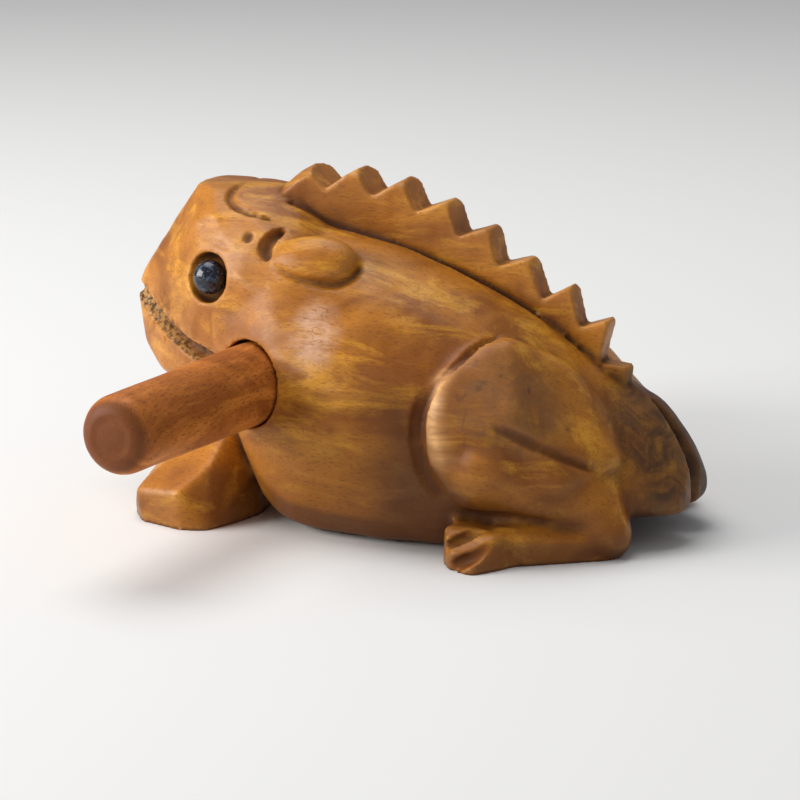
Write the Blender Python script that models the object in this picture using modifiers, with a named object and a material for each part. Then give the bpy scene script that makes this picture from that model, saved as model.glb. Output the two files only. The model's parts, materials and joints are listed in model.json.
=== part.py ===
"""Frog guiro: a carved wooden frog with a toothed back and a turned striker stick.

Frame: X to the frog's left, Y towards its rump, Z up, with the soles on Z = 0.
The origin lies on the floor, in the middle of the frog's length and width.
Every size is in millimetres, and MM turns it into Blender's metres.
"""
import math

import bmesh
import bpy
from mathutils import Matrix, Vector
from mathutils.bvhtree import BVHTree

MM = 0.001

# Overall size of the carving
BODY_LENGTH = 125.0
THIGH_SPAN = 76.0
CREST_HEIGHT = 71.0

# The carving's points are drawn on a block of this size
DRAWN_LENGTH = 125.0
DRAWN_SPAN = 76.0
DRAWN_HEIGHT = 71.0

# The right thigh sits lower and closer to the body than the left one
RIGHT_THIGH_DROP = 3.0
RIGHT_THIGH_IN = 3.0

# Toothed ridge along the back
RIDGE_WIDTH_FRONT = 12.6
RIDGE_WIDTH_REAR = 4.6
RIDGE_CROWN_FRONT = 1.9
RIDGE_CROWN_REAR = 0.9
RIDGE_ROOT = 16.0
TOOTH_COUNT = 9
TOOTH_DEPTH_FRONT = 3.3
TOOTH_DEPTH_REAR = 5.0
TOOTH_LEAN_FRONT = 0.38
TOOTH_LEAN_REAR = 0.72
TOOTH_CUT_REACH = 1.4
BASE_GROOVE_WIDTH = 1.8
BASE_GROOVE_FRONT = -28.0
BASE_GROOVE_REAR = 46.0
BASE_GROOVE_STEPS = 10

# Striker stick and the bore that it rests in
STICK_LENGTH = 161.0
STICK_DIAMETER = 16.8
STICK_TIP_DIAMETER = 15.8
STICK_END_RADIUS = 4.2
STICK_WAIST_SHARE = 0.36
BORE_SLOPE = 1.2
BORE_TURN = 3.5
BORE_CLEARANCE = 0.9
BORE_Y = -22.0
BORE_Z = 28.9

# Bead eyes and their drilled sockets
EYE_DIAMETER = 7.0
EYE_THICKNESS = 5.0
SOCKET_CLEARANCE = 3.6
SOCKET_DEPTH = 4.4

# Mouth line
MOUTH_WIDTH = 4.4
MOUTH_DEPTH = 2.8
MOUTH_FRONT_SHARE = 0.4
MOUTH_FRONT_REACH = 9.0

# Sound chamber, open under the belly
CHAMBER_WIDTH = 38.0
CHAMBER_MOUTH_WIDTH = 25.0
CHAMBER_FRONT = -10.0
CHAMBER_REAR = 38.0
CHAMBER_HEIGHT = 40.0

# Cuts between the toes, and the creases of the leg
TOE_CUT_WIDTH = 3.1
CREASE_WIDTH = 3.4
CREASE_DEPTH = 1.1
THIGH_EDGE_WIDTH = 4.6
THIGH_EDGE_DEPTH = 1.5

# Air between two pieces that rest on each other
SEAT_GAP = 0.3

# Fineness of the carved surface
CARVING_GRAIN = 1.1
SANDING_PASSES = 2
CARVED_FACE_SHARE = 0.074

WOOD = (0.42, 0.165, 0.042, 1.0)
STICK_WOOD = (0.36, 0.12, 0.035, 1.0)
BEAD = (0.012, 0.013, 0.02, 1.0)


def place(x, y, z):
    """A point drawn on the block, carried to the size of this frog."""
    return Vector((
        x * THIGH_SPAN / DRAWN_SPAN,
        y * BODY_LENGTH / DRAWN_LENGTH,
        z * CREST_HEIGHT / DRAWN_HEIGHT,
    )) * MM


def clear_scene():
    for item in list(bpy.data.objects):
        bpy.data.objects.remove(item, do_unlink=True)


def new_collection(name):
    collection = bpy.data.collections.new(name)
    bpy.context.scene.collection.children.link(collection)
    return collection


def new_material(name, colour, roughness, metallic=0.0):
    material = bpy.data.materials.new(name)
    material.use_nodes = True
    shader = material.node_tree.nodes["Principled BSDF"]
    shader.inputs["Base Color"].default_value = colour
    shader.inputs["Roughness"].default_value = roughness
    shader.inputs["Metallic"].default_value = metallic
    return material


def object_from_bmesh(name, bm, collection):
    bmesh.ops.recalc_face_normals(bm, faces=bm.faces)
    mesh = bpy.data.meshes.new(name)
    bm.to_mesh(mesh)
    bm.free()
    item = bpy.data.objects.new(name, mesh)
    collection.objects.link(item)
    return item


def curve_through(points, steps):
    """Points of a smooth Catmull-Rom curve through the given points."""
    ends = [points[0] * 2 - points[1]] + list(points) + [points[-1] * 2 - points[-2]]
    result = []
    for i in range(len(points) - 1):
        a, b, c, d = ends[i:i + 4]
        for step in range(steps):
            t = step / steps
            linear = (c - a) * t
            square = (a * 2 - b * 5 + c * 4 - d) * t * t
            cube = (b * 3 - a - c * 3 + d) * t ** 3
            result.append((b * 2 + linear + square + cube) * 0.5)
    result.append(points[-1].copy())
    return result


def add_loft(bm, rings):
    """A closed skin over rings of points, all with the same count."""
    loops = [[bm.verts.new(point) for point in ring] for ring in rings]
    for near, far in zip(loops, loops[1:]):
        for i in range(len(near)):
            j = (i + 1) % len(near)
            bm.faces.new((near[i], near[j], far[j], far[i]))
    bm.faces.new(loops[0][::-1])
    bm.faces.new(loops[-1])


def add_hull(bm, points):
    """The convex form stretched over the given points."""
    verts = [bm.verts.new(point) for point in points]
    hull = bmesh.ops.convex_hull(bm, input=verts)
    loose = [item for item in hull["geom_interior"] if isinstance(item, bmesh.types.BMVert)]
    bmesh.ops.delete(bm, geom=loose, context="VERTS")


def both_sides(points):
    return points + [Vector((-point.x, point.y, point.z)) for point in points]


def ellipsoid_points(centre, radii, segments=20, rings=12):
    points = []
    for ring in range(rings + 1):
        tilt = math.pi * ring / rings
        count = 1 if ring in (0, rings) else segments
        for step in range(count):
            turn = 2 * math.pi * step / segments
            points.append(centre + Vector((
                radii.x * math.sin(tilt) * math.cos(turn),
                radii.y * math.sin(tilt) * math.sin(turn),
                radii.z * math.cos(tilt),
            )))
    return points


def add_form(name, points, collection):
    bm = bmesh.new()
    add_hull(bm, points)
    return object_from_bmesh(name, bm, collection)


# Cross-sections of the trunk: place along the back, then from the top centre
# down one side to the bottom centre
TRUNK_SECTIONS = (
    (-34.0, (0, 61.5), (12, 60.0), (19, 53.0), (22, 38.0), (18, 27.0), (0, 24.0)),
    (-28.0, (0, 61.8), (12, 59.6), (20, 53.0), (25.5, 34.0), (24.5, 19.0), (0, 15.0)),
    (-20.0, (0, 61.0), (12, 58.4), (22, 52.0), (30, 34.0), (28.0, 6.0), (0, 3.0)),
    (-12.0, (0, 59.6), (12, 57.2), (23.5, 50.0), (33, 29.0), (30.0, 2.2), (0, 1.0)),
    (0.0, (0, 56.8), (12, 54.8), (24.5, 46.5), (34.5, 25.5), (30.6, 1.4), (0, 0.9)),
    (12.0, (0, 52.4), (12, 50.6), (24.5, 42.5), (34, 24.0), (30, 1.2), (0, 0.9)),
    (24.0, (0, 47.2), (12, 45.3), (23, 38.0), (32, 22.0), (27.5, 1.4), (0, 1.0)),
    (36.0, (0, 39.8), (11, 38.0), (20, 32.0), (27, 20.0), (21, 4.4), (0, 3.0)),
    (47.0, (0, 31.5), (8, 29.0), (15, 25.0), (21, 17.0), (17, 6.6), (0, 5.0)),
    (54.0, (0, 27.0), (6, 25.5), (12, 21.0), (17, 14.0), (15.4, 7.0), (0, 5.4)),
    (59.5, (0, 20.0), (5, 19.0), (9.6, 16.0), (12.6, 11.6), (11.6, 6.8), (0, 5.6)),
    (62.5, (0, 14.5), (3, 14.0), (6.0, 12.6), (8.2, 9.8), (7.8, 6.8), (0, 6.2)),
)


def add_trunk(collection):
    rings = []
    for station in TRUNK_SECTIONS:
        y = station[0]
        side = curve_through([place(x, y, z) for x, z in station[1:]], 4)
        other = [Vector((-point.x, point.y, point.z)) for point in side[-2:0:-1]]
        rings.append(side + other)
    lengthwise = [curve_through(list(line), 3) for line in zip(*rings)]
    bm = bmesh.new()
    add_loft(bm, list(zip(*lengthwise)))
    return object_from_bmesh("trunk_form", bm, collection)


# Facets of the head: forehead, brows, eye planes, snout, jaw and cheeks
HEAD_POINTS = (
    (0, -46.8, 65.6), (5, -45.6, 65.8), (8, -41.0, 65.4), (0, -25.5, 66.4), (7, -26.0, 62.8),
    (14.2, -37.9, 61.6), (16.4, -26.8, 60.4), (13.4, -42.6, 58.8), (17.6, -33.9, 58.3),
    (19.6, -27.0, 57.0), (0, -61.4, 45.4), (5, -59.0, 45.6), (0, -62.9, 41.4),
    (3.5, -61.4, 41.6), (8.5, -55.2, 38.6), (13.5, -49.0, 36.2), (18.5, -41.2, 34.4),
    (0, -61.4, 30.0), (5, -58.8, 30.4), (5, -55.0, 24.6), (10, -52.2, 26.4),
    (15, -45.6, 29.4), (0, -55.5, 23.4), (20.5, -37.0, 49.0), (23, -28.0, 50.0),
    (25.8, -24.0, 31.0), (25.8, -18.0, 45.0), (24, -26.0, 20.0), (12, -44.0, 23.4),
    (21, -14.0, 55.0), (0, -14.0, 60.0), (18, -34.0, 22.0), (12, -26.0, 16.0),
)

FORELEG_POINTS = (
    (10, -30, 26), (24, -32.6, 17), (28, -42.6, 11.6), (33.5, -46.6, 6.4), (35, -44.4, -2),
    (31.6, -30.6, 12.6), (36.6, -35.6, 7.8), (37.8, -34.8, -2), (36.6, -29.6, -2),
    (30, -27, -2), (20, -24.6, -2), (24, -25, 10), (12, -26, 20), (14, -44, 15),
    (18, -51, 6.4), (20, -52.4, -2), (29, -49.4, 3), (28, -49.6, -2), (12, -46, -2),
    (12, -26, -2),
)

TOES_POINTS = (
    (41.6, 26.0, -2), (41.4, 26.0, 4.2), (37, 22.8, -2), (36.8, 22.8, 7.6), (31, 23.4, 7.4),
    (30, 24.0, -2), (43.8, 31.0, -2), (42.8, 32.0, 3.0), (37.4, 34.6, 7.0), (36.4, 36.4, -2),
    (30, 38, 6), (28, 38, -2),
)

FOOT_POINTS = (
    (35.0, 36.0, -2), (35.0, 37.0, 5.4), (35.6, 33.5, 7.0), (24.4, 50.6, -2), (23.6, 53.6, 4.0),
    (20, 52.6, -2), (19.6, 55.8, 4.0), (13, 51, -2), (13, 51, 7), (22, 44, 9.0), (24, 30, 9),
    (30, 28, -2),
)


# Middle of the thigh's rounded rim, then of its face
THIGH_POINTS = (
    (22.4, 25.2, 36.1), (25.6, 22.8, 33.7), (28.3, 21.4, 30.6), (30.0, 20.7, 27.0), (31.0, 21.6, 20.4),
    (30.5, 25.0, 15.6), (19.0, 28.6, 37.0), (14.0, 36.6, 32.6), (12.4, 44.4, 23.8), (17.0, 47.4, 18.6),
    (26.6, 42.0, 16.0), (28.2, 33.0, 27.4),
)
THIGH_RIM_RADIUS = 5.0


def add_hind_leg(collection):
    ball = Vector((1.0, 1.0, 1.0)) * THIGH_RIM_RADIUS * MM
    thigh = ellipsoid_points(place(10.0, 33.0, 23.0), place(8.0, 12.0, 12.0))
    for point in THIGH_POINTS:
        thigh += ellipsoid_points(place(*point), ball, 14, 8)
    add_form("thigh_form", thigh, collection)
    knee = ellipsoid_points(place(28.0, 28.6, 17.6), place(8.6, 10.0, 9.4))
    ankle = ellipsoid_points(place(18.6, 46.2, 10.4), place(8.6, 6.8, 8.6))
    heel = ellipsoid_points(place(20.4, 50.6, 4.4), place(5.4, 5.4, 5.4))
    add_form("shank_form", knee + ankle, collection)
    add_form("heel_form", ankle + heel, collection)
    add_form("toes_form", [place(*point) for point in TOES_POINTS], collection)
    add_form("hind_foot_form", [place(*point) for point in FOOT_POINTS], collection)


def add_tympanum(collection):
    """The raised oval behind the eye, lying along the slope of the back."""
    centre = place(19.3, -12.6, 54.4)
    oval = ellipsoid_points(Vector(), place(3.7, 9.4, 5.4))
    turn = Matrix.Rotation(math.radians(-38.0), 3, "Y") @ Matrix.Rotation(math.radians(4.0), 3, "X")
    add_form("tympanum_form", [centre + turn @ point for point in oval], collection)


def mirror_forms(forms):
    """The same form on the frog's other side, where the thigh is carved lower."""
    for form in forms:
        mesh = form.data.copy()
        mesh.transform(Matrix.Scale(-1.0, 4, (1.0, 0.0, 0.0)))
        if form.name == "thigh_form":
            mesh.transform(Matrix.Translation(Vector((RIGHT_THIGH_IN, 0.0, -RIGHT_THIGH_DROP)) * MM))
        mesh.flip_normals()
        twin = bpy.data.objects.new(form.name + "_right", mesh)
        form.users_collection[0].objects.link(twin)


def joined_mesh(name, forms):
    bm = bmesh.new()
    for form in forms:
        bm.from_mesh(form.data)
    mesh = bpy.data.meshes.new(name)
    bm.to_mesh(mesh)
    bm.free()
    return mesh


def add_block_out(collection):
    """All forms of the frog, before they are blended into one carving."""
    add_trunk(collection)
    add_form("head_form", both_sides([place(*point) for point in HEAD_POINTS]), collection)
    paired = new_collection("paired_forms")
    add_form("foreleg_form", [place(*point) for point in FORELEG_POINTS], paired)
    add_hind_leg(paired)
    add_tympanum(paired)
    mirror_forms(list(paired.objects))
    forms = list(collection.objects) + list(paired.objects)
    mesh = joined_mesh("frog_body", forms)
    for form in forms:
        bpy.data.objects.remove(form, do_unlink=True)
    bpy.data.collections.remove(paired)
    return mesh


# Crest of the ridge, seen from the side: its plain front slope, then the toothed stretch
CREST_SLOPE = ((-39.0, 60.0), (-29.0, 63.0))
CREST_TEETH = (
    (-20.4, 69.0), (-10.8, 69.4), (-0.2, 67.7), (10.0, 63.8), (20.0, 58.4), (29.6, 51.8),
    (38.8, 47.0), (44.7, 41.4), (48.2, 33.6),
)
CREST_STEPS = 8


def crest_curve():
    return curve_through([place(0, y, z) for y, z in CREST_SLOPE + CREST_TEETH], CREST_STEPS)


def crest_frames(curve):
    """Distance, point and direction out of the crest."""
    frames = []
    travelled = 0.0
    for i, point in enumerate(curve):
        before = curve[max(i - 1, 0)]
        after = curve[min(i + 1, len(curve) - 1)]
        along = (after - before).normalized()
        out = Vector((0.0, -along.z, along.y))
        travelled += (point - before).length
        frames.append((travelled, point, out))
    return frames


def frame_at(frames, distance):
    for near, far in zip(frames, frames[1:]):
        if far[0] >= distance:
            share = (distance - near[0]) / (far[0] - near[0])
            return near[1].lerp(far[1], share), near[2].lerp(far[2], share)
    return frames[-1][1], frames[-1][2]


def between(front, rear, share):
    return front + (rear - front) * share


def half_width_at(share):
    """Half the width of the ridge; share runs from its first end to the rump."""
    return between(RIDGE_WIDTH_FRONT, RIDGE_WIDTH_REAR, share) / 2


def crown_at(share):
    """Height of the rounded crest over its edges."""
    return between(RIDGE_CROWN_FRONT, RIDGE_CROWN_REAR, share)


def add_ridge(collection):
    """The uncut ridge, with a rounded crest."""
    root = Vector((0.0, 0.0, -RIDGE_ROOT * MM))
    frames = crest_frames(crest_curve())
    bm = bmesh.new()
    rings = []
    for travelled, point, out in frames[::2]:
        share = travelled / frames[-1][0]
        half = half_width_at(share)
        crown = crown_at(share)
        ring = []
        for step in range(9):
            across = 1.0 - step / 4
            lift = out * (crown * (1.0 - across * across) * MM)
            ring.append(point + Vector((half * across * MM, 0.0, 0.0)) + lift)
        foot = Vector((half * MM, 0.0, 0.0))
        rings.append([point + root + foot] + ring + [point + root - foot])
    add_loft(bm, rings)
    return object_from_bmesh("ridge_form", bm, collection)


def add_tooth_cuts(collection):
    """One V-shaped cut straight across the ridge between each two teeth."""
    frames = crest_frames(crest_curve())
    length = frames[-1][0]
    start = frames[len(CREST_SLOPE) * CREST_STEPS][0]
    pitch = (length - start) / (TOOTH_COUNT - 1)
    for gap in range(TOOTH_COUNT - 1):
        rank = gap / max(TOOTH_COUNT - 2, 1)
        depth = between(TOOTH_DEPTH_FRONT, TOOTH_DEPTH_REAR, rank)
        lean = between(TOOTH_LEAN_FRONT, TOOTH_LEAN_REAR, rank)
        point, out = frame_at(frames, start + (gap + lean) * pitch)
        floor = point - out * (depth * MM)
        opening = 1.0 + RIDGE_CROWN_FRONT / depth
        ring = [floor]
        for tooth in (gap, gap + 1):
            tip, up = frame_at(frames, start + tooth * pitch)
            tip = tip + up * (crown_at((start + tooth * pitch) / length) * MM)
            ring.append(floor + (tip - floor) * opening)
        reach = Vector((half_width_at((start + gap * pitch) / length) * TOOTH_CUT_REACH * MM, 0.0, 0.0))
        bm = bmesh.new()
        add_loft(bm, [[corner - reach for corner in ring], [corner + reach for corner in ring]])
        object_from_bmesh("tooth_cut_%d" % (gap + 1), bm, collection)


def add_tube(name, points, width, collection):
    """A round tool mark along a line, thin at both ends."""
    curve = bpy.data.curves.new(name, "CURVE")
    curve.dimensions = "3D"
    curve.bevel_depth = width * MM / 2
    curve.bevel_resolution = 1
    curve.use_fill_caps = True
    spline = curve.splines.new("POLY")
    smooth = curve_through(points, 4)
    spline.points.add(len(smooth) - 1)
    for i, (target, point) in enumerate(zip(spline.points, smooth)):
        share = i / (len(smooth) - 1)
        target.co = (*point, 1.0)
        target.radius = 0.35 + 0.65 * math.sin(math.pi * share) ** 0.5
    line = bpy.data.objects.new(name, curve)
    collection.objects.link(line)
    mesh = bpy.data.meshes.new_from_object(line.evaluated_get(bpy.context.evaluated_depsgraph_get()))
    bpy.data.objects.remove(line, do_unlink=True)
    bm = bmesh.new()
    bm.from_mesh(mesh)
    bpy.data.meshes.remove(mesh)
    bmesh.ops.remove_doubles(bm, verts=bm.verts, dist=0.00001)
    return object_from_bmesh(name, bm, collection)


def mirrored(points):
    return [Vector((-point.x, point.y, point.z)) for point in points]


def add_tube_pair(name, points, width, collection):
    line = [place(*point) for point in points]
    add_tube(name + "_left", line, width, collection)
    add_tube(name + "_right", mirrored(line), width, collection)


def add_side_marks(name, skin, points, width, depth, collection):
    """A tool mark drawn from the side, pressed evenly into both sides of the carving."""
    line = []
    for y, z in points:
        start = place(THIGH_SPAN, y, z)
        touch = skin.ray_cast(start, Vector((-1.0, 0.0, 0.0)))
        line.append(touch[0] + touch[1] * ((width / 2 - depth) * MM))
    add_tube(name + "_left", line, width, collection)
    add_tube(name + "_right", mirrored(line), width, collection)


MOUTH_LINE = (
    (0.0, -62.6, 41.8), (3.4, -61.2, 41.6), (8.3, -54.8, 38.2), (13.4, -48.6, 35.4),
    (18.4, -40.8, 32.8), (24.0, -30.0, 30.6),
)


def add_mouth(collection):
    """A curved wedge that cuts the mouth all round the snout, shallower at the front."""
    left = curve_through([place(*point) for point in MOUTH_LINE], 5)
    line = mirrored(left[:0:-1]) + left
    heart = place(0.0, -22.0, 0.0)
    half = Vector((0.0, 0.0, MOUTH_WIDTH * MM / 2))
    rings = []
    for point in line:
        inward = Vector((heart.x - point.x, heart.y - point.y, 0.0)).normalized()
        side = min(abs(point.x) / (MOUTH_FRONT_REACH * MM), 1.0)
        inner = point + inward * (MOUTH_DEPTH * between(MOUTH_FRONT_SHARE, 1.0, side) * MM)
        outer = point - inward * (6.0 * MM)
        rings.append([inner - half * 0.5, inner + half * 0.5, outer + half * 2.0, outer - half * 2.0])
    bm = bmesh.new()
    add_loft(bm, rings)
    return object_from_bmesh("mouth_cut", bm, collection)


def add_cylinder(name, centre, axis, radius, length, collection, segments=40):
    bm = bmesh.new()
    bmesh.ops.create_cone(
        bm, cap_ends=True, segments=segments, radius1=radius * MM, radius2=radius * MM,
        depth=length * MM,
    )
    turn = Vector((0.0, 0.0, 1.0)).rotation_difference(axis).to_matrix().to_4x4()
    bmesh.ops.transform(bm, matrix=Matrix.Translation(centre) @ turn, verts=bm.verts)
    return object_from_bmesh(name, bm, collection)


EYE_AXIS = Vector((0.96, 0.12, 0.18)).normalized()


def eye_surface_point():
    return place(19.6, -36.6, 48.9)


def add_sockets(collection):
    radius = EYE_DIAMETER / 2 + SOCKET_CLEARANCE / 2
    for side, name in ((1, "left"), (-1, "right")):
        axis = Vector((EYE_AXIS.x * side, EYE_AXIS.y, EYE_AXIS.z))
        surface = eye_surface_point()
        surface.x *= side
        length = SOCKET_DEPTH + 8.0
        centre = surface + axis * ((length / 2 - SOCKET_DEPTH) * MM)
        add_cylinder("socket_" + name, centre, axis, radius, length, collection, 28)


def add_chamber(collection):
    """The hollow of the body: a domed hall with a narrower slot to the floor."""
    wide = CHAMBER_WIDTH / 2
    front_reach = (CHAMBER_REAR - CHAMBER_FRONT) * 0.3
    rear_reach = front_reach * 0.85
    front = Vector((0.0, CHAMBER_FRONT + front_reach, CHAMBER_HEIGHT - 14.0)) * MM
    rear = Vector((0.0, CHAMBER_REAR - rear_reach, CHAMBER_HEIGHT - 20.0)) * MM
    dome = ellipsoid_points(front, Vector((wide, front_reach, 14.0)) * MM, 16, 8)
    tail = ellipsoid_points(rear, Vector((wide * 0.8, rear_reach, 11.0)) * MM, 16, 8)
    add_form("chamber_hall", dome + tail, collection)
    slot = []
    half = CHAMBER_MOUTH_WIDTH / 2
    for end, sign in ((CHAMBER_FRONT + half + 3.0, -1), (CHAMBER_REAR - half - 3.0, 1)):
        for step in range(9):
            turn = math.pi * (step / 8 - 0.5)
            x = half * math.sin(turn)
            y = end + sign * half * math.cos(turn)
            slot.append(Vector((x, y, -6.0)) * MM)
            slot.append(Vector((x, y, CHAMBER_HEIGHT - 20.0)) * MM)
    add_form("chamber_slot", slot, collection)


def add_floor_cut(collection):
    """Everything under the soles goes, so that they are flat."""
    bm = bmesh.new()
    bmesh.ops.create_cube(bm, size=1.0)
    size = Matrix.Diagonal((BODY_LENGTH * 2 * MM, BODY_LENGTH * 2 * MM, 20.0 * MM, 1.0))
    down = Matrix.Translation((0.0, 0.0, -10.0 * MM))
    bmesh.ops.transform(bm, matrix=down @ size, verts=bm.verts)
    return object_from_bmesh("floor_cut", bm, collection)


def add_toe_cuts(collection):
    cuts = (
        ("toe_cut_upper", ((40.6, 22.0, 2.6), (39.6, 25.6, 4.6), (37.2, 29.4, 7.0), (34.2, 32.0, 9.2))),
        ("toe_cut_lower", ((43.6, 24.6, -0.6), (42.2, 27.6, 1.4), (41.6, 31.4, 3.6), (39.0, 34.0, 6.0))),
    )
    for name, points in cuts:
        add_tube_pair(name, points, TOE_CUT_WIDTH, collection)


def add_creases(skin, collection):
    """The folds between thigh and shank, and between shank and foot."""
    thigh_fold = ((30.8, 27.4), (35.4, 26.0), (40.6, 23.6), (45.6, 20.6), (50.0, 17.2))
    foot_fold = ((24.4, 9.6), (29.0, 9.0), (36.0, 8.6), (43.0, 7.8))
    add_side_marks("thigh_fold", skin, thigh_fold, CREASE_WIDTH, CREASE_DEPTH, collection)
    add_side_marks("foot_fold", skin, foot_fold, CREASE_WIDTH, CREASE_DEPTH, collection)
    thigh_edge = ((26.8, 41.6), (20.6, 36.8), (16.8, 30.6), (16.0, 23.6), (17.6, 16.4), (21.2, 11.0))
    add_side_marks("thigh_edge", skin, thigh_edge, THIGH_EDGE_WIDTH, THIGH_EDGE_DEPTH, collection)


def add_head_marks(skin, collection):
    """Tool marks that set off the brow, the back band and the oval behind the eye."""
    band = ((0.0, -35.6, 67.0), (6.0, -36.4, 65.8), (10.6, -35.6, 64.0), (13.0, -31.0, 61.8),
            (13.6, -24.0, 60.2))
    under_brow = ((-43.6, 57.0), (-40.0, 56.6), (-36.0, 56.0), (-31.6, 55.2), (-29.0, 54.4))
    brow_nick = ((-27.8, 58.8), (-27.7, 57.8), (-27.6, 56.8))
    front_notch = ((-21.2, 59.4), (-22.9, 57.8), (-23.2, 55.8), (-22.0, 53.8))
    oval_edge = ((-20.6, 53.2), (-15.8, 51.5), (-11.0, 50.7), (-6.4, 50.4), (-3.6, 51.6), (-2.8, 53.6))
    add_tube_pair("band_groove", band, 2.4, collection)
    add_side_marks("under_brow", skin, under_brow, 2.2, 0.4, collection)
    add_side_marks("brow_nick", skin, brow_nick, 2.6, 1.5, collection)
    add_side_marks("front_notch", skin, front_notch, 3.8, 2.4, collection)
    add_side_marks("oval_edge", skin, oval_edge, 2.6, 0.9, collection)


def add_base_grooves(skin, collection):
    """A fine line along each foot of the ridge."""
    line = []
    for step in range(BASE_GROOVE_STEPS + 1):
        share = step / BASE_GROOVE_STEPS
        start = place(0.0, between(BASE_GROOVE_FRONT, BASE_GROOVE_REAR, share), DRAWN_HEIGHT * 2)
        start.x = (half_width_at(share) + BASE_GROOVE_WIDTH / 4) * MM
        line.append(skin.ray_cast(start, Vector((0.0, 0.0, -1.0)))[0])
    add_tube("base_groove_left", line, BASE_GROOVE_WIDTH, collection)
    add_tube("base_groove_right", mirrored(line), BASE_GROOVE_WIDTH, collection)


def add_rump_groove(collection):
    """The deep V between the two halves of the rump."""
    line = ((0, 50.4, 34), (0, 54.9, 19.1), (0, 57.4, 9), (0, 58, 2))
    sides = ((2.6, 59, 36), (3.2, 65, 19), (3.6, 67, 2))
    add_form("rump_groove", both_sides([place(*point) for point in line + sides]), collection)


def bore_centre():
    return Vector((0.0, BORE_Y * BODY_LENGTH / DRAWN_LENGTH, BORE_Z * CREST_HEIGHT / DRAWN_HEIGHT)) * MM


def bore_axis():
    """The bore rises and turns a little towards the snout on the frog's left side."""
    slope = math.radians(BORE_SLOPE)
    turn = math.radians(BORE_TURN)
    return Vector((math.cos(slope) * math.cos(turn), -math.cos(slope) * math.sin(turn), math.sin(slope)))


def add_bore(collection):
    radius = (STICK_DIAMETER + BORE_CLEARANCE) / 2
    add_cylinder("stick_bore", bore_centre(), bore_axis(), radius, THIGH_SPAN * 1.5, collection, 48)


def set_boolean(item, operation, tool=None, tools=None):
    """Adds or cuts away one tool, or a whole collection of them."""
    modifier = item.modifiers.new(operation.lower(), "BOOLEAN")
    modifier.operation = operation
    modifier.solver = "EXACT"
    if tool:
        modifier.object = tool
    else:
        modifier.operand_type = "COLLECTION"
        modifier.collection = tools


def hide_tools(collection):
    for tool in collection.objects:
        tool.hide_render = True
        tool.display_type = "WIRE"


def make_body(parts, tools):
    forms = new_collection("forms")
    mesh = add_block_out(forms)
    bpy.data.collections.remove(forms)
    body = bpy.data.objects.new("frog_body", mesh)
    parts.objects.link(body)
    blend = body.modifiers.new("blend_forms", "REMESH")
    blend.mode = "VOXEL"
    blend.voxel_size = CARVING_GRAIN * MM
    sand = body.modifiers.new("sanding", "SMOOTH")
    sand.factor = 0.5
    sand.iterations = SANDING_PASSES
    thin = body.modifiers.new("fewer_faces", "DECIMATE")
    thin.ratio = CARVED_FACE_SHARE
    skin = BVHTree.FromObject(body, bpy.context.evaluated_depsgraph_get())
    ridge = add_ridge(tools)
    set_boolean(body, "UNION", tool=ridge)
    cuts = new_collection("cuts")
    add_tooth_cuts(cuts)
    add_base_grooves(skin, cuts)
    add_head_marks(skin, cuts)
    add_mouth(cuts)
    add_sockets(cuts)
    add_creases(skin, cuts)
    add_toe_cuts(cuts)
    add_rump_groove(cuts)
    add_bore(cuts)
    add_chamber(cuts)
    add_floor_cut(cuts)
    set_boolean(body, "DIFFERENCE", tools=cuts)
    hide_tools(cuts)
    hide_tools(tools)
    body.data.materials.append(new_material("lacquered_wood", WOOD, 0.35))
    return body


def make_eye(name, side, parts, material):
    """A dark oval bead, seated a hair above the bottom of its socket."""
    bm = bmesh.new()
    bmesh.ops.create_uvsphere(bm, u_segments=24, v_segments=14, radius=0.5)
    size = Matrix.Diagonal((EYE_DIAMETER * MM, EYE_DIAMETER * MM, EYE_THICKNESS * MM, 1.0))
    bmesh.ops.transform(bm, matrix=size, verts=bm.verts)
    eye = object_from_bmesh(name, bm, parts)
    axis = Vector((EYE_AXIS.x * side, EYE_AXIS.y, EYE_AXIS.z))
    surface = eye_surface_point()
    surface.x *= side
    bottom = surface - axis * (SOCKET_DEPTH * MM)
    eye.location = bottom + axis * ((EYE_THICKNESS / 2 + SEAT_GAP) * MM)
    eye.rotation_mode = "QUATERNION"
    eye.rotation_quaternion = Vector((0.0, 0.0, 1.0)).rotation_difference(axis)
    eye.data.materials.append(material)
    eye.data.shade_smooth()
    return eye


def make_stick(parts):
    """A turned dowel, thinner towards its rounded ends, lying on the floor of the bore."""
    radius = STICK_TIP_DIAMETER / 2
    corner = STICK_END_RADIUS
    half = STICK_LENGTH / 2
    arc = []
    for step in range(7):
        turn = math.pi / 2 * step / 6
        x = radius - corner + corner * math.sin(turn)
        z = half - corner + corner * math.cos(turn)
        arc.append((x, z))
    waist = THIGH_SPAN * STICK_WAIST_SHARE
    thick = [(STICK_DIAMETER / 2, waist), (STICK_DIAMETER / 2, -waist)]
    outline = [(0.0, half)] + arc + thick + [(x, -z) for x, z in arc[::-1]] + [(0.0, -half)]
    mesh = bpy.data.meshes.new("striker_stick")
    points = [(x * MM, 0.0, z * MM) for x, z in outline]
    mesh.from_pydata(points, [(i, i + 1) for i in range(len(points) - 1)], [])
    stick = bpy.data.objects.new("striker_stick", mesh)
    parts.objects.link(stick)
    turn = stick.modifiers.new("turned", "SCREW")
    turn.axis = "Z"
    turn.angle = 2 * math.pi
    turn.steps = 40
    turn.render_steps = 40
    turn.use_merge_vertices = True
    turn.merge_threshold = 0.00001
    drop = BORE_CLEARANCE / 2 - SEAT_GAP
    stick.location = bore_centre() - Vector((0.0, 0.0, drop * MM))
    stick.rotation_mode = "QUATERNION"
    stick.rotation_quaternion = Vector((0.0, 0.0, 1.0)).rotation_difference(bore_axis())
    stick.data.materials.append(new_material("stick_wood", STICK_WOOD, 0.4))
    return stick


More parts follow.
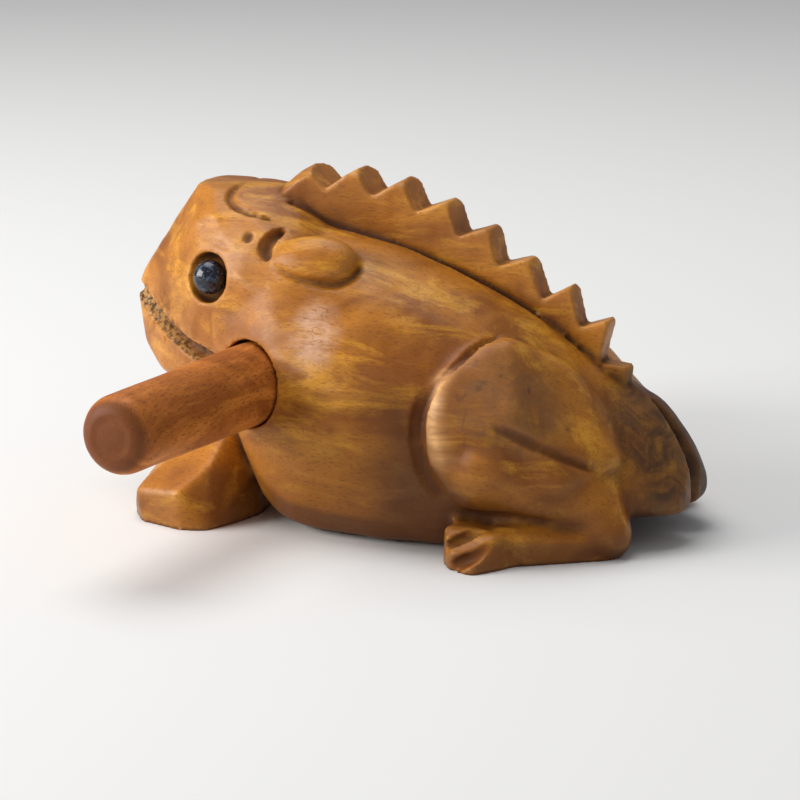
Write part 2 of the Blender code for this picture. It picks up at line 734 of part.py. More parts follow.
def main():
    clear_scene()
    parts = new_collection("frog_guiro")
    tools = new_collection("tools")
    make_body(parts, tools)
    bead = new_material("dark_bead", BEAD, 0.12)
    make_eye("left_eye", 1, parts, bead)
    make_eye("right_eye", -1, parts, bead)
    make_stick(parts)


main()
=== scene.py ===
"""Looks of the frog guiro: the carving at full detail, bead eyes, striker stick, studio.

Frame: X to the frog's left, Y towards its rump, Z up, with the soles on Z = 0.
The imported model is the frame. Shapes are drawn in millimetres, and MM turns them into metres.
"""
import json
import math

import bmesh
import bpy
import numpy as np
from mathutils import Matrix, Vector, noise
from mathutils.bvhtree import BVHTree

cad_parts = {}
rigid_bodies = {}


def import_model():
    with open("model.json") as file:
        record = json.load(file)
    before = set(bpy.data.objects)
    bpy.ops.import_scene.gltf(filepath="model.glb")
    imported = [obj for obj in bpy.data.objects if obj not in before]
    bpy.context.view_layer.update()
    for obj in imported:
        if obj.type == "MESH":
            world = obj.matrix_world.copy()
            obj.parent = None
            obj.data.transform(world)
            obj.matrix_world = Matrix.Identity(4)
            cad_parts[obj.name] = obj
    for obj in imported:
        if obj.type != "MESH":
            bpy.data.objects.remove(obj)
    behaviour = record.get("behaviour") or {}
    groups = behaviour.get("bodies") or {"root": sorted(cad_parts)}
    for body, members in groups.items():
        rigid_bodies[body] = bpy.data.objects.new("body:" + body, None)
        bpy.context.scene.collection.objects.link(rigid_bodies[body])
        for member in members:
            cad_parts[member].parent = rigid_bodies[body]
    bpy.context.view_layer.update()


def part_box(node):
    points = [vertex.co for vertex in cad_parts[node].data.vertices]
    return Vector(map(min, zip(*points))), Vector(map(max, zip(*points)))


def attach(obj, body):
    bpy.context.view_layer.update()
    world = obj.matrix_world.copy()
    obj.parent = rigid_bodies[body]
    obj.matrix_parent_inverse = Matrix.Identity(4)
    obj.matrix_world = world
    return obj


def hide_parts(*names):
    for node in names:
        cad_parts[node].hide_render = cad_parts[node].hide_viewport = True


MM = 0.001

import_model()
BODY_LOW, BODY_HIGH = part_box("frog_body")
STICK_LOW, STICK_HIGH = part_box("striker_stick")

# Camera, where the photograph was taken from
CAMERA_PLACE = (0.55896, 0.23520, 0.17325)
CAMERA_AZIMUTH = 113.0
CAMERA_ELEVATION = 14.0
FLOOR_SIZE = 3.0
FLOOR_COLOUR = (0.79, 0.79, 0.78, 1.0)

# Fineness of the carved surface
BLOCK_GRAIN = 0.85
BLOCK_SANDING = 3
SKIN_GRAIN = 0.5
SKIN_SANDING = 1
SKIN_FACES = 190000

# Size that the carving's points are drawn for
DRAWN_LENGTH = 125.0
DRAWN_SPAN = 86.0
DRAWN_HEIGHT = 71.0

# The right thigh sits lower and closer to the body than the left one
RIGHT_THIGH_DROP = 3.0
RIGHT_THIGH_IN = 3.0

# Toothed ridge along the back
RIDGE_WIDTH_FRONT = 12.6
RIDGE_WIDTH_REAR = 4.6
RIDGE_CROWN_FRONT = 1.9
RIDGE_CROWN_REAR = 0.9
RIDGE_ROOT = 16.0
TOOTH_COUNT = 9
TOOTH_DEPTH_FRONT = 3.3
TOOTH_DEPTH_REAR = 5.0
TOOTH_LEAN_FRONT = 0.38
TOOTH_LEAN_REAR = 0.72
TOOTH_CUT_REACH = 1.4
BASE_GROOVE_WIDTH = 1.8
BASE_GROOVE_FRONT = -28.0
BASE_GROOVE_REAR = 46.0
BASE_GROOVE_STEPS = 10

# Striker stick and the bore that it rests in
STICK_LENGTH = 161.0
STICK_DIAMETER = 16.8
STICK_TIP_DIAMETER = 15.8
STICK_END_RADIUS = 4.2
STICK_WAIST_SHARE = 0.36
BORE_SLOPE = 1.2
BORE_TURN = 3.5
BORE_CLEARANCE = 0.9
BORE_Y = -22.0
BORE_Z = 28.9

# Bead eyes and their drilled sockets
EYE_DIAMETER = 7.0
EYE_THICKNESS = 5.0
SOCKET_CLEARANCE = 3.6
SOCKET_DEPTH = 4.4
SOCKET_OVERCUT = 8.0

# Mouth line
MOUTH_WIDTH = 4.4
MOUTH_DEPTH = 2.8
MOUTH_FRONT_SHARE = 0.4
MOUTH_FRONT_REACH = 9.0
MOUTH_OVERCUT = 6.0

# Sound chamber, open under the belly
CHAMBER_WIDTH = 38.0
CHAMBER_MOUTH_WIDTH = 25.0
CHAMBER_FRONT = -10.0
CHAMBER_REAR = 38.0
CHAMBER_HEIGHT = 40.0
CHAMBER_DOME_RISE = 14.0
CHAMBER_TAIL_RISE = 11.0
CHAMBER_TAIL_DROP = 20.0
CHAMBER_SLOT_INSET = 3.0
CHAMBER_SLOT_OVERCUT = 6.0

# Cuts between the toes, and the creases of the leg
TOE_CUT_WIDTH = 3.1
CREASE_WIDTH = 3.4
CREASE_DEPTH = 1.1
THIGH_EDGE_WIDTH = 4.6
THIGH_EDGE_DEPTH = 1.5

# Tool marks of the head: width, then depth for the pressed ones
BAND_GROOVE_WIDTH = 2.4
UNDER_BROW_WIDTH = 2.2
UNDER_BROW_DEPTH = 0.4
BROW_NICK_WIDTH = 2.6
BROW_NICK_DEPTH = 1.5
FRONT_NOTCH_WIDTH = 3.8
FRONT_NOTCH_DEPTH = 2.4
OVAL_EDGE_WIDTH = 2.6
OVAL_EDGE_DEPTH = 0.9

# Waves and pits that the tools left, and the height under which the soles stay flat
BROAD_WAVE = 0.2
FINE_WAVE = 0.08
PIT_DEPTH = 1.2
SOLE_HEIGHT = 0.6
SOLE_FLAT = 0.3

# Stained and worn places, and places of painted sheen, highlight and shade, as centre and reach, given
# for the frog's left side
THIGH_STAIN_CENTRE = (30.0, 34.0, 31.0)
THIGH_STAIN_REACH = (17.0, 17.0, 13.0)
CRACKLE_AND_SHEEN_CENTRE = (29.0, -8.5, 41.0)
CRACKLE_AND_SHEEN_REACH = (10.0, 6.6, 8.6)
BROW_ROUGH_SHEEN_CENTRE = (19.0, -31.0, 56.0)
BROW_ROUGH_SHEEN_REACH = (8.0, 12.0, 6.0)
MOUTH_GRAIN_REACH = 4.2
THIGH_RIM_HIGHLIGHT_REACH = 3.6
GROIN_SHADE_REACH = 11.0

# The burnt rump: where it starts along Y, its top and its half width
BURN_FRONT = 44.0
BURN_TOP = 38.0
BURN_HALF_WIDTH = 19.0
BURN_FADE = 7.0
BURN_SIDE_FADE = 6.0

# Tones of the carving, among them painted shade, painted highlight and painted sheen
WOOD_LIGHT = (0.72, 0.335, 0.03)
WOOD_MIDDLE = (0.48, 0.175, 0.016)
WOOD_DARK = (0.235, 0.068, 0.007)
PORE_TONE = (0.12, 0.034, 0.007)
THIGH_STAIN_TONE = (0.17, 0.072, 0.026)
SCRATCH_TONE = (0.07, 0.025, 0.01)
BURN_TONE = (0.045, 0.022, 0.014)
CRACK_TONE = (0.1, 0.035, 0.012)
# Painted shade in hollows and creases, mixed with the dark lacquer that pooled there
HOLLOW_LACQUER_AND_SHADE_TONE = (0.05, 0.016, 0.005)
# Lighter edges: rubbed wear, with a painted highlight along them
WORN_EDGE_AND_HIGHLIGHT_TONE = (0.66, 0.3, 0.08)
# Painted shade under the belly and legs and in front of the thigh
PAINTED_SHADE_BELOW_TONE = (0.085, 0.026, 0.007)
# Extra dark on the burnt rump, more on the frog's right side
RUMP_RIGHT_DARK_TONE = (0.03, 0.013, 0.008)
# Painted highlight along the thigh's front rim
PAINTED_THIGH_RIM_HIGHLIGHT_TONE = (0.85, 0.48, 0.2)
# Pale painted sheen on the flank
PAINTED_SHEEN_TONE = (0.76, 0.48, 0.33)
# Rough patch under the brow, painted paler as a sheen
BROW_ROUGH_SHEEN_TONE = (0.5, 0.26, 0.14)
END_GRAIN_TONE = (0.44, 0.22, 0.06)
END_GRAIN_PIT_TONE = (0.1, 0.045, 0.014)

# Tones of the stick and the beads
STICK_LIGHT = (0.78, 0.28, 0.05)
STICK_MIDDLE = (0.56, 0.18, 0.03)
STICK_DARK = (0.34, 0.095, 0.016)
STICK_PORE_TONE = (0.07, 0.018, 0.006)
STICK_END_TONE = (0.13, 0.038, 0.012)
BEAD_DARK = (0.008, 0.01, 0.018)
BEAD_SPECK = (0.06, 0.085, 0.14)

# How the grain stretches the noise: along Y in the carving, along X in the stick
CARVING_GRAIN = (1.0, 0.22, 1.0)
STICK_GRAIN = (0.2, 1.0, 1.0)

# Studio
KEY_PLACE = (0.5, -0.8, 0.36)
KEY_TARGET = (0.0, 0.0, 0.03)
KEY_SIZE = (0.7, 0.45)
KEY_POWER = 10.0
KEY_TONE = (1.0, 0.98, 0.95)
TOP_PLACE = (-0.1, -0.25, 0.95)
TOP_TARGET = (0.0, 0.0, 0.0)
TOP_SIZE = (0.7, 0.7)
TOP_POWER = 6.0
TOP_TONE = (1.0, 1.0, 1.0)
WORLD_TONE = (0.96, 0.97, 1.0, 1.0)
WORLD_STRENGTH = 0.3


def place(x, y, z):
    """A point drawn in millimetres, carried to the size of the CAD body, in metres."""
    size = BODY_HIGH - BODY_LOW
    return Vector((
        x * size.x / DRAWN_SPAN,
        y * size.y / DRAWN_LENGTH,
        z * size.z / DRAWN_HEIGHT,
    ))


def object_from_bmesh(name, bm, collection):
    bmesh.ops.recalc_face_normals(bm, faces=bm.faces)
    mesh = bpy.data.meshes.new(name)
    bm.to_mesh(mesh)
    bm.free()
    item = bpy.data.objects.new(name, mesh)
    collection.objects.link(item)
    return item


def curve_through(points, steps):
    """Points of a smooth Catmull-Rom curve through the given points."""
    ends = [points[0] * 2 - points[1]] + list(points) + [points[-1] * 2 - points[-2]]
    result = []
    for i in range(len(points) - 1):
        a, b, c, d = ends[i:i + 4]
        for step in range(steps):
            t = step / steps
            linear = (c - a) * t
            square = (a * 2 - b * 5 + c * 4 - d) * t * t
            cube = (b * 3 - a - c * 3 + d) * t ** 3
            result.append((b * 2 + linear + square + cube) * 0.5)
    result.append(points[-1].copy())
    return result


def add_loft(bm, rings):
    """A closed skin over rings of points, all with the same count."""
    loops = [[bm.verts.new(point) for point in ring] for ring in rings]
    for near, far in zip(loops, loops[1:]):
        for i in range(len(near)):
            j = (i + 1) % len(near)
            bm.faces.new((near[i], near[j], far[j], far[i]))
    bm.faces.new(loops[0][::-1])
    bm.faces.new(loops[-1])


def add_hull(bm, points):
    """The convex form stretched over the given points."""
    verts = [bm.verts.new(point) for point in points]
    hull = bmesh.ops.convex_hull(bm, input=verts)
    loose = [item for item in hull["geom_interior"] if isinstance(item, bmesh.types.BMVert)]
    bmesh.ops.delete(bm, geom=loose, context="VERTS")


def both_sides(points):
    return points + [Vector((-point.x, point.y, point.z)) for point in points]


def ellipsoid_points(centre, radii, segments=20, rings=12):
    points = []
    for ring in range(rings + 1):
        tilt = math.pi * ring / rings
        count = 1 if ring in (0, rings) else segments
        for step in range(count):
            turn = 2 * math.pi * step / segments
            points.append(centre + Vector((
                radii.x * math.sin(tilt) * math.cos(turn),
                radii.y * math.sin(tilt) * math.sin(turn),
                radii.z * math.cos(tilt),
            )))
    return points


def add_form(name, points, collection):
    bm = bmesh.new()
    add_hull(bm, points)
    return object_from_bmesh(name, bm, collection)


# Cross-sections of the trunk: place along the back, then from the top centre
# down one side to the bottom centre
TRUNK_SECTIONS = (
    (-34.0, (0, 61.5), (12, 60.0), (19, 53.0), (22, 38.0), (18, 27.0), (0, 24.0)),
    (-28.0, (0, 61.8), (12, 59.6), (20, 53.0), (25.5, 34.0), (24.5, 19.0), (0, 15.0)),
    (-20.0, (0, 61.0), (12, 58.4), (22, 52.0), (30, 34.0), (28.0, 6.0), (0, 3.0)),
    (-12.0, (0, 59.6), (12, 57.2), (23.5, 50.0), (33, 29.0), (30.0, 2.2), (0, 1.0)),
    (0.0, (0, 56.8), (12, 54.8), (24.5, 46.5), (34.5, 25.5), (30.6, 1.4), (0, 0.9)),
    (12.0, (0, 52.4), (12, 50.6), (24.5, 42.5), (34, 24.0), (30, 1.2), (0, 0.9)),
    (24.0, (0, 47.2), (12, 45.3), (23, 38.0), (32, 22.0), (27.5, 1.4), (0, 1.0)),
    (36.0, (0, 39.8), (11, 38.0), (20, 32.0), (27, 20.0), (21, 4.4), (0, 3.0)),
    (47.0, (0, 31.5), (8, 29.0), (15, 25.0), (21, 17.0), (17, 6.6), (0, 5.0)),
    (54.0, (0, 27.0), (6, 25.5), (12, 21.0), (17, 14.0), (15.4, 7.0), (0, 5.4)),
    (59.5, (0, 20.0), (5, 19.0), (9.6, 16.0), (12.6, 11.6), (11.6, 6.8), (0, 5.6)),
    (62.5, (0, 14.5), (3, 14.0), (6.0, 12.6), (8.2, 9.8), (7.8, 6.8), (0, 6.2)),
)


def add_trunk(collection):
    rings = []
    for station in TRUNK_SECTIONS:
        y = station[0]
        side = curve_through([place(x, y, z) for x, z in station[1:]], 4)
        other = [Vector((-point.x, point.y, point.z)) for point in side[-2:0:-1]]
        rings.append(side + other)
    lengthwise = [curve_through(list(line), 3) for line in zip(*rings)]
    bm = bmesh.new()
    add_loft(bm, list(zip(*lengthwise)))
    return object_from_bmesh("trunk_form", bm, collection)


# Facets of the head: forehead, brows, eye planes, snout, jaw and cheeks
HEAD_POINTS = (
    (0, -46.8, 65.6), (5, -45.6, 65.8), (8, -41.0, 65.4), (0, -25.5, 66.4), (7, -26.0, 62.8),
    (14.2, -37.9, 61.6), (16.4, -26.8, 60.4), (13.4, -42.6, 58.8), (17.6, -33.9, 58.3),
    (19.6, -27.0, 57.0), (0, -61.4, 45.4), (5, -59.0, 45.6), (0, -62.9, 41.4),
    (3.5, -61.4, 41.6), (8.5, -55.2, 38.6), (13.5, -49.0, 36.2), (18.5, -41.2, 34.4),
    (0, -61.4, 30.0), (5, -58.8, 30.4), (5, -55.0, 24.6), (10, -52.2, 26.4),
    (15, -45.6, 29.4), (0, -55.5, 23.4), (20.5, -37.0, 49.0), (23, -28.0, 50.0),
    (25.8, -24.0, 31.0), (25.8, -18.0, 45.0), (24, -26.0, 20.0), (12, -44.0, 23.4),
    (21, -14.0, 55.0), (0, -14.0, 60.0), (18, -34.0, 22.0), (12, -26.0, 16.0),
)

FORELEG_POINTS = (
    (10, -30, 26), (24, -32.6, 17), (28, -42.6, 11.6), (33.5, -46.6, 6.4), (35, -44.4, -2),
    (31.6, -30.6, 12.6), (36.6, -35.6, 7.8), (37.8, -34.8, -2), (36.6, -29.6, -2),
    (30, -27, -2), (20, -24.6, -2), (24, -25, 10), (12, -26, 20), (14, -44, 15),
    (18, -51, 6.4), (20, -52.4, -2), (29, -49.4, 3), (28, -49.6, -2), (12, -46, -2),
    (12, -26, -2),
)

TOES_POINTS = (
    (41.6, 26.0, -2), (41.4, 26.0, 4.2), (37, 22.8, -2), (36.8, 22.8, 7.6), (31, 23.4, 7.4),
    (30, 24.0, -2), (43.8, 31.0, -2), (42.8, 32.0, 3.0), (37.4, 34.6, 7.0), (36.4, 36.4, -2),
    (30, 38, 6), (28, 38, -2),
)

FOOT_POINTS = (
    (35.0, 36.0, -2), (35.0, 37.0, 5.4), (35.6, 33.5, 7.0), (24.4, 50.6, -2), (23.6, 53.6, 4.0),
    (20, 52.6, -2), (19.6, 55.8, 4.0), (13, 51, -2), (13, 51, 7), (22, 44, 9.0), (24, 30, 9),
    (30, 28, -2),
)

# Middle of the thigh's rounded rim, then of its face
THIGH_POINTS = (
    (22.4, 25.2, 36.1), (25.6, 22.8, 33.7), (28.3, 21.4, 30.6), (30.0, 20.7, 27.0), (31.0, 21.6, 20.4),
    (30.5, 25.0, 15.6), (19.0, 28.6, 37.0), (14.0, 36.6, 32.6), (12.4, 44.4, 23.8), (17.0, 47.4, 18.6),
    (26.6, 42.0, 16.0), (28.2, 33.0, 27.4),
)
THIGH_RIM_RADIUS = 5.0


def add_hind_leg(collection):
    ball = Vector((1.0, 1.0, 1.0)) * THIGH_RIM_RADIUS * MM
    thigh = ellipsoid_points(place(10.0, 33.0, 23.0), place(8.0, 12.0, 12.0))
    for point in THIGH_POINTS:
        thigh += ellipsoid_points(place(*point), ball, 14, 8)
    add_form("thigh_form", thigh, collection)
    knee = ellipsoid_points(place(28.0, 28.6, 17.6), place(8.6, 10.0, 9.4))
    ankle = ellipsoid_points(place(18.6, 46.2, 10.4), place(8.6, 6.8, 8.6))
    heel = ellipsoid_points(place(20.4, 50.6, 4.4), place(5.4, 5.4, 5.4))
    add_form("shank_form", knee + ankle, collection)
    add_form("heel_form", ankle + heel, collection)
    add_form("toes_form", [place(*point) for point in TOES_POINTS], collection)
    add_form("hind_foot_form", [place(*point) for point in FOOT_POINTS], collection)


def add_tympanum(collection):
    """The raised oval behind the eye, lying along the slope of the back."""
    centre = place(19.3, -12.6, 54.4)
    oval = ellipsoid_points(Vector(), place(3.7, 9.4, 5.4))
    turn = Matrix.Rotation(math.radians(-38.0), 3, "Y") @ Matrix.Rotation(math.radians(4.0), 3, "X")
    add_form("tympanum_form", [centre + turn @ point for point in oval], collection)


def mirror_forms(forms):
    """The same form on the frog's other side, where the thigh is carved lower."""
    for form in forms:
        mesh = form.data.copy()
        mesh.transform(Matrix.Scale(-1.0, 4, (1.0, 0.0, 0.0)))
        if form.name == "thigh_form":
            mesh.transform(Matrix.Translation(Vector((RIGHT_THIGH_IN, 0.0, -RIGHT_THIGH_DROP)) * MM))
        mesh.flip_normals()
        twin = bpy.data.objects.new(form.name + "_right", mesh)
        form.users_collection[0].objects.link(twin)


def joined_mesh(name, forms):
    bm = bmesh.new()
    for form in forms:
        bm.from_mesh(form.data)
    mesh = bpy.data.meshes.new(name)
    bm.to_mesh(mesh)
    bm.free()
    return mesh


def add_block_out(collection):
    """All forms of the frog, before they are blended into one carving."""
    add_trunk(collection)
    add_form("head_form", both_sides([place(*point) for point in HEAD_POINTS]), collection)
    paired = new_collection("paired_forms")
    add_form("foreleg_form", [place(*point) for point in FORELEG_POINTS], paired)
    add_hind_leg(paired)
    add_tympanum(paired)
    mirror_forms(list(paired.objects))
    forms = list(collection.objects) + list(paired.objects)
    mesh = joined_mesh("frog_body", forms)
    for form in forms:
        bpy.data.objects.remove(form, do_unlink=True)
    bpy.data.collections.remove(paired)
    return mesh


# Crest of the ridge, seen from the side: its plain front slope, then the toothed stretch
CREST_SLOPE = ((-39.0, 60.0), (-29.0, 63.0))
CREST_TEETH = (
    (-20.4, 69.0), (-10.8, 69.4), (-0.2, 67.7), (10.0, 63.8), (20.0, 58.4), (29.6, 51.8),
    (38.8, 47.0), (44.7, 41.4), (48.2, 33.6),
)
CREST_STEPS = 8


def crest_curve():
    return curve_through([place(0, y, z) for y, z in CREST_SLOPE + CREST_TEETH], CREST_STEPS)


def crest_frames(curve):
    """Distance, point and direction out of the crest."""
    frames = []
    travelled = 0.0
    for i, point in enumerate(curve):
        before = curve[max(i - 1, 0)]
        after = curve[min(i + 1, len(curve) - 1)]
        along = (after - before).normalized()
        out = Vector((0.0, -along.z, along.y))
        travelled += (point - before).length
        frames.append((travelled, point, out))
    return frames


def frame_at(frames, distance):
    for near, far in zip(frames, frames[1:]):
        if far[0] >= distance:
            share = (distance - near[0]) / (far[0] - near[0])
            return near[1].lerp(far[1], share), near[2].lerp(far[2], share)
    return frames[-1][1], frames[-1][2]


def between(front, rear, share):
    return front + (rear - front) * share


def half_width_at(share):
    """Half the width of the ridge; share runs from its first end to the rump."""
    return between(RIDGE_WIDTH_FRONT, RIDGE_WIDTH_REAR, share) / 2


def crown_at(share):
    """Height of the rounded crest over its edges."""
    return between(RIDGE_CROWN_FRONT, RIDGE_CROWN_REAR, share)


def add_ridge(collection):
    """The uncut ridge, with a rounded crest."""
    root = Vector((0.0, 0.0, -RIDGE_ROOT * MM))
    frames = crest_frames(crest_curve())
    bm = bmesh.new()
    rings = []
    for travelled, point, out in frames[::2]:
        share = travelled / frames[-1][0]
        half = half_width_at(share)
        crown = crown_at(share)
        ring = []
        for step in range(9):
            across = 1.0 - step / 4
            lift = out * (crown * (1.0 - across * across) * MM)
            ring.append(point + Vector((half * across * MM, 0.0, 0.0)) + lift)
        foot = Vector((half * MM, 0.0, 0.0))
        rings.append([point + root + foot] + ring + [point + root - foot])
    add_loft(bm, rings)
    return object_from_bmesh("ridge_form", bm, collection)


def add_tooth_cuts(collection):
    """One V-shaped cut straight across the ridge between each two teeth."""
    frames = crest_frames(crest_curve())
    length = frames[-1][0]
    start = frames[len(CREST_SLOPE) * CREST_STEPS][0]
    pitch = (length - start) / (TOOTH_COUNT - 1)
    for gap in range(TOOTH_COUNT - 1):
        rank = gap / max(TOOTH_COUNT - 2, 1)
        depth = between(TOOTH_DEPTH_FRONT, TOOTH_DEPTH_REAR, rank)
        lean = between(TOOTH_LEAN_FRONT, TOOTH_LEAN_REAR, rank)
        point, out = frame_at(frames, start + (gap + lean) * pitch)
        floor = point - out * (depth * MM)
        opening = 1.0 + RIDGE_CROWN_FRONT / depth
        ring = [floor]
        for tooth in (gap, gap + 1):
            tip, up = frame_at(frames, start + tooth * pitch)
            tip = tip + up * (crown_at((start + tooth * pitch) / length) * MM)
            ring.append(floor + (tip - floor) * opening)
        reach = Vector((half_width_at((start + gap * pitch) / length) * TOOTH_CUT_REACH * MM, 0.0, 0.0))
        bm = bmesh.new()
        add_loft(bm, [[corner - reach for corner in ring], [corner + reach for corner in ring]])
        object_from_bmesh("tooth_cut_%d" % (gap + 1), bm, collection)


def add_tube(name, points, width, collection):
    """A round tool mark along a line, thin at both ends."""
    curve = bpy.data.curves.new(name, "CURVE")
    curve.dimensions = "3D"
    curve.bevel_depth = width * MM / 2
    curve.bevel_resolution = 1
    curve.use_fill_caps = True
    spline = curve.splines.new("POLY")
    smooth = curve_through(points, 4)
    spline.points.add(len(smooth) - 1)
    for i, (target, point) in enumerate(zip(spline.points, smooth)):
        share = i / (len(smooth) - 1)
        target.co = (*point, 1.0)
        target.radius = 0.35 + 0.65 * math.sin(math.pi * share) ** 0.5
    line = bpy.data.objects.new(name, curve)
    collection.objects.link(line)
    mesh = bpy.data.meshes.new_from_object(line.evaluated_get(bpy.context.evaluated_depsgraph_get()))
    bpy.data.objects.remove(line, do_unlink=True)
    bm = bmesh.new()
    bm.from_mesh(mesh)
    bpy.data.meshes.remove(mesh)
    bmesh.ops.remove_doubles(bm, verts=bm.verts, dist=0.00001)
    return object_from_bmesh(name, bm, collection)


def mirrored(points):
    return [Vector((-point.x, point.y, point.z)) for point in points]


def add_tube_pair(name, points, width, collection):
    line = [place(*point) for point in points]
    add_tube(name + "_left", line, width, collection)
    add_tube(name + "_right", mirrored(line), width, collection)


def add_side_marks(name, skin, points, width, depth, collection):
    """A tool mark drawn from the side, pressed evenly into both sides of the carving."""
    line = []
    for y, z in points:
        start = place(DRAWN_SPAN, y, z)
        touch = skin.ray_cast(start, Vector((-1.0, 0.0, 0.0)))
        line.append(touch[0] + touch[1] * ((width / 2 - depth) * MM))
    add_tube(name + "_left", line, width, collection)
    add_tube(name + "_right", mirrored(line), width, collection)


MOUTH_LINE = (
    (0.0, -62.6, 41.8), (3.4, -61.2, 41.6), (8.3, -54.8, 38.2), (13.4, -48.6, 35.4),
    (18.4, -40.8, 32.8), (24.0, -30.0, 30.6),
)


def add_mouth(collection):
    """A curved wedge that cuts the mouth all round the snout, shallower at the front."""
    left = curve_through([place(*point) for point in MOUTH_LINE], 5)
    line = mirrored(left[:0:-1]) + left
    heart = place(0.0, -22.0, 0.0)
    half = Vector((0.0, 0.0, MOUTH_WIDTH * MM / 2))
    rings = []
    for point in line:
        inward = Vector((heart.x - point.x, heart.y - point.y, 0.0)).normalized()
        side = min(abs(point.x) / (MOUTH_FRONT_REACH * MM), 1.0)
        inner = point + inward * (MOUTH_DEPTH * between(MOUTH_FRONT_SHARE, 1.0, side) * MM)
        outer = point - inward * (MOUTH_OVERCUT * MM)
        rings.append([inner - half * 0.5, inner + half * 0.5, outer + half * 2.0, outer - half * 2.0])
    bm = bmesh.new()
    add_loft(bm, rings)
    return object_from_bmesh("mouth_cut", bm, collection)


def add_cylinder(name, centre, axis, radius, length, collection, segments=40):
    bm = bmesh.new()
    bmesh.ops.create_cone(
        bm, cap_ends=True, segments=segments, radius1=radius * MM, radius2=radius * MM,
        depth=length * MM,
    )
    turn = Vector((0.0, 0.0, 1.0)).rotation_difference(axis).to_matrix().to_4x4()
    bmesh.ops.transform(bm, matrix=Matrix.Translation(centre) @ turn, verts=bm.verts)
    return object_from_bmesh(name, bm, collection)


EYE_AXIS = Vector((0.96, 0.12, 0.18)).normalized()


def eye_surface_point():
    return place(19.6, -36.6, 48.9)


def add_sockets(collection):
    radius = EYE_DIAMETER / 2 + SOCKET_CLEARANCE / 2
    for side, name in ((1, "left"), (-1, "right")):
        axis = Vector((EYE_AXIS.x * side, EYE_AXIS.y, EYE_AXIS.z))
        surface = eye_surface_point()
        surface.x *= side
        length = SOCKET_DEPTH + SOCKET_OVERCUT
        centre = surface + axis * ((length / 2 - SOCKET_DEPTH) * MM)
        add_cylinder("socket_" + name, centre, axis, radius, length, collection, 28)


def add_chamber(collection):
    """The hollow of the body: a domed hall with a narrower slot to the floor."""
    wide = CHAMBER_WIDTH / 2
    front_reach = (CHAMBER_REAR - CHAMBER_FRONT) * 0.3
    rear_reach = front_reach * 0.85
    front = Vector((0.0, CHAMBER_FRONT + front_reach, CHAMBER_HEIGHT - CHAMBER_DOME_RISE)) * MM
    rear = Vector((0.0, CHAMBER_REAR - rear_reach, CHAMBER_HEIGHT - CHAMBER_TAIL_DROP)) * MM
    dome = ellipsoid_points(front, Vector((wide, front_reach, CHAMBER_DOME_RISE)) * MM, 16, 8)
    tail = ellipsoid_points(rear, Vector((wide * 0.8, rear_reach, CHAMBER_TAIL_RISE)) * MM, 16, 8)
    add_form("chamber_hall", dome + tail, collection)
    slot = []
    half = CHAMBER_MOUTH_WIDTH / 2
    front_end = CHAMBER_FRONT + half + CHAMBER_SLOT_INSET
    rear_end = CHAMBER_REAR - half - CHAMBER_SLOT_INSET
    for end, sign in ((front_end, -1), (rear_end, 1)):
        for step in range(9):
            turn = math.pi * (step / 8 - 0.5)
            x = half * math.sin(turn)
            y = end + sign * half * math.cos(turn)
            slot.append(Vector((x, y, -CHAMBER_SLOT_OVERCUT)) * MM)
            slot.append(Vector((x, y, CHAMBER_HEIGHT - CHAMBER_TAIL_DROP)) * MM)
    add_form("chamber_slot", slot, collection)


def add_floor_cut(collection):
    """Everything under the soles goes, so that they are flat."""
    bm = bmesh.new()
    bmesh.ops.create_cube(bm, size=1.0)
    size = Matrix.Diagonal((DRAWN_LENGTH * 2 * MM, DRAWN_LENGTH * 2 * MM, 20.0 * MM, 1.0))
    down = Matrix.Translation((0.0, 0.0, -10.0 * MM))
    bmesh.ops.transform(bm, matrix=down @ size, verts=bm.verts)
    return object_from_bmesh("floor_cut", bm, collection)


def add_toe_cuts(collection):
    cuts = (
        ("toe_cut_upper", ((40.6, 22.0, 2.6), (39.6, 25.6, 4.6), (37.2, 29.4, 7.0), (34.2, 32.0, 9.2))),
        ("toe_cut_lower", ((43.6, 24.6, -0.6), (42.2, 27.6, 1.4), (41.6, 31.4, 3.6), (39.0, 34.0, 6.0))),
    )
    for name, points in cuts:
        add_tube_pair(name, points, TOE_CUT_WIDTH, collection)


def add_creases(skin, collection):
    """The folds between thigh and shank, and between shank and foot."""
    thigh_fold = ((30.8, 27.4), (35.4, 26.0), (40.6, 23.6), (45.6, 20.6), (50.0, 17.2))
    foot_fold = ((24.4, 9.6), (29.0, 9.0), (36.0, 8.6), (43.0, 7.8))
    add_side_marks("thigh_fold", skin, thigh_fold, CREASE_WIDTH, CREASE_DEPTH, collection)
    add_side_marks("foot_fold", skin, foot_fold, CREASE_WIDTH, CREASE_DEPTH, collection)
    thigh_edge = ((26.8, 41.6), (20.6, 36.8), (16.8, 30.6), (16.0, 23.6), (17.6, 16.4), (21.2, 11.0))
    add_side_marks("thigh_edge", skin, thigh_edge, THIGH_EDGE_WIDTH, THIGH_EDGE_DEPTH, collection)


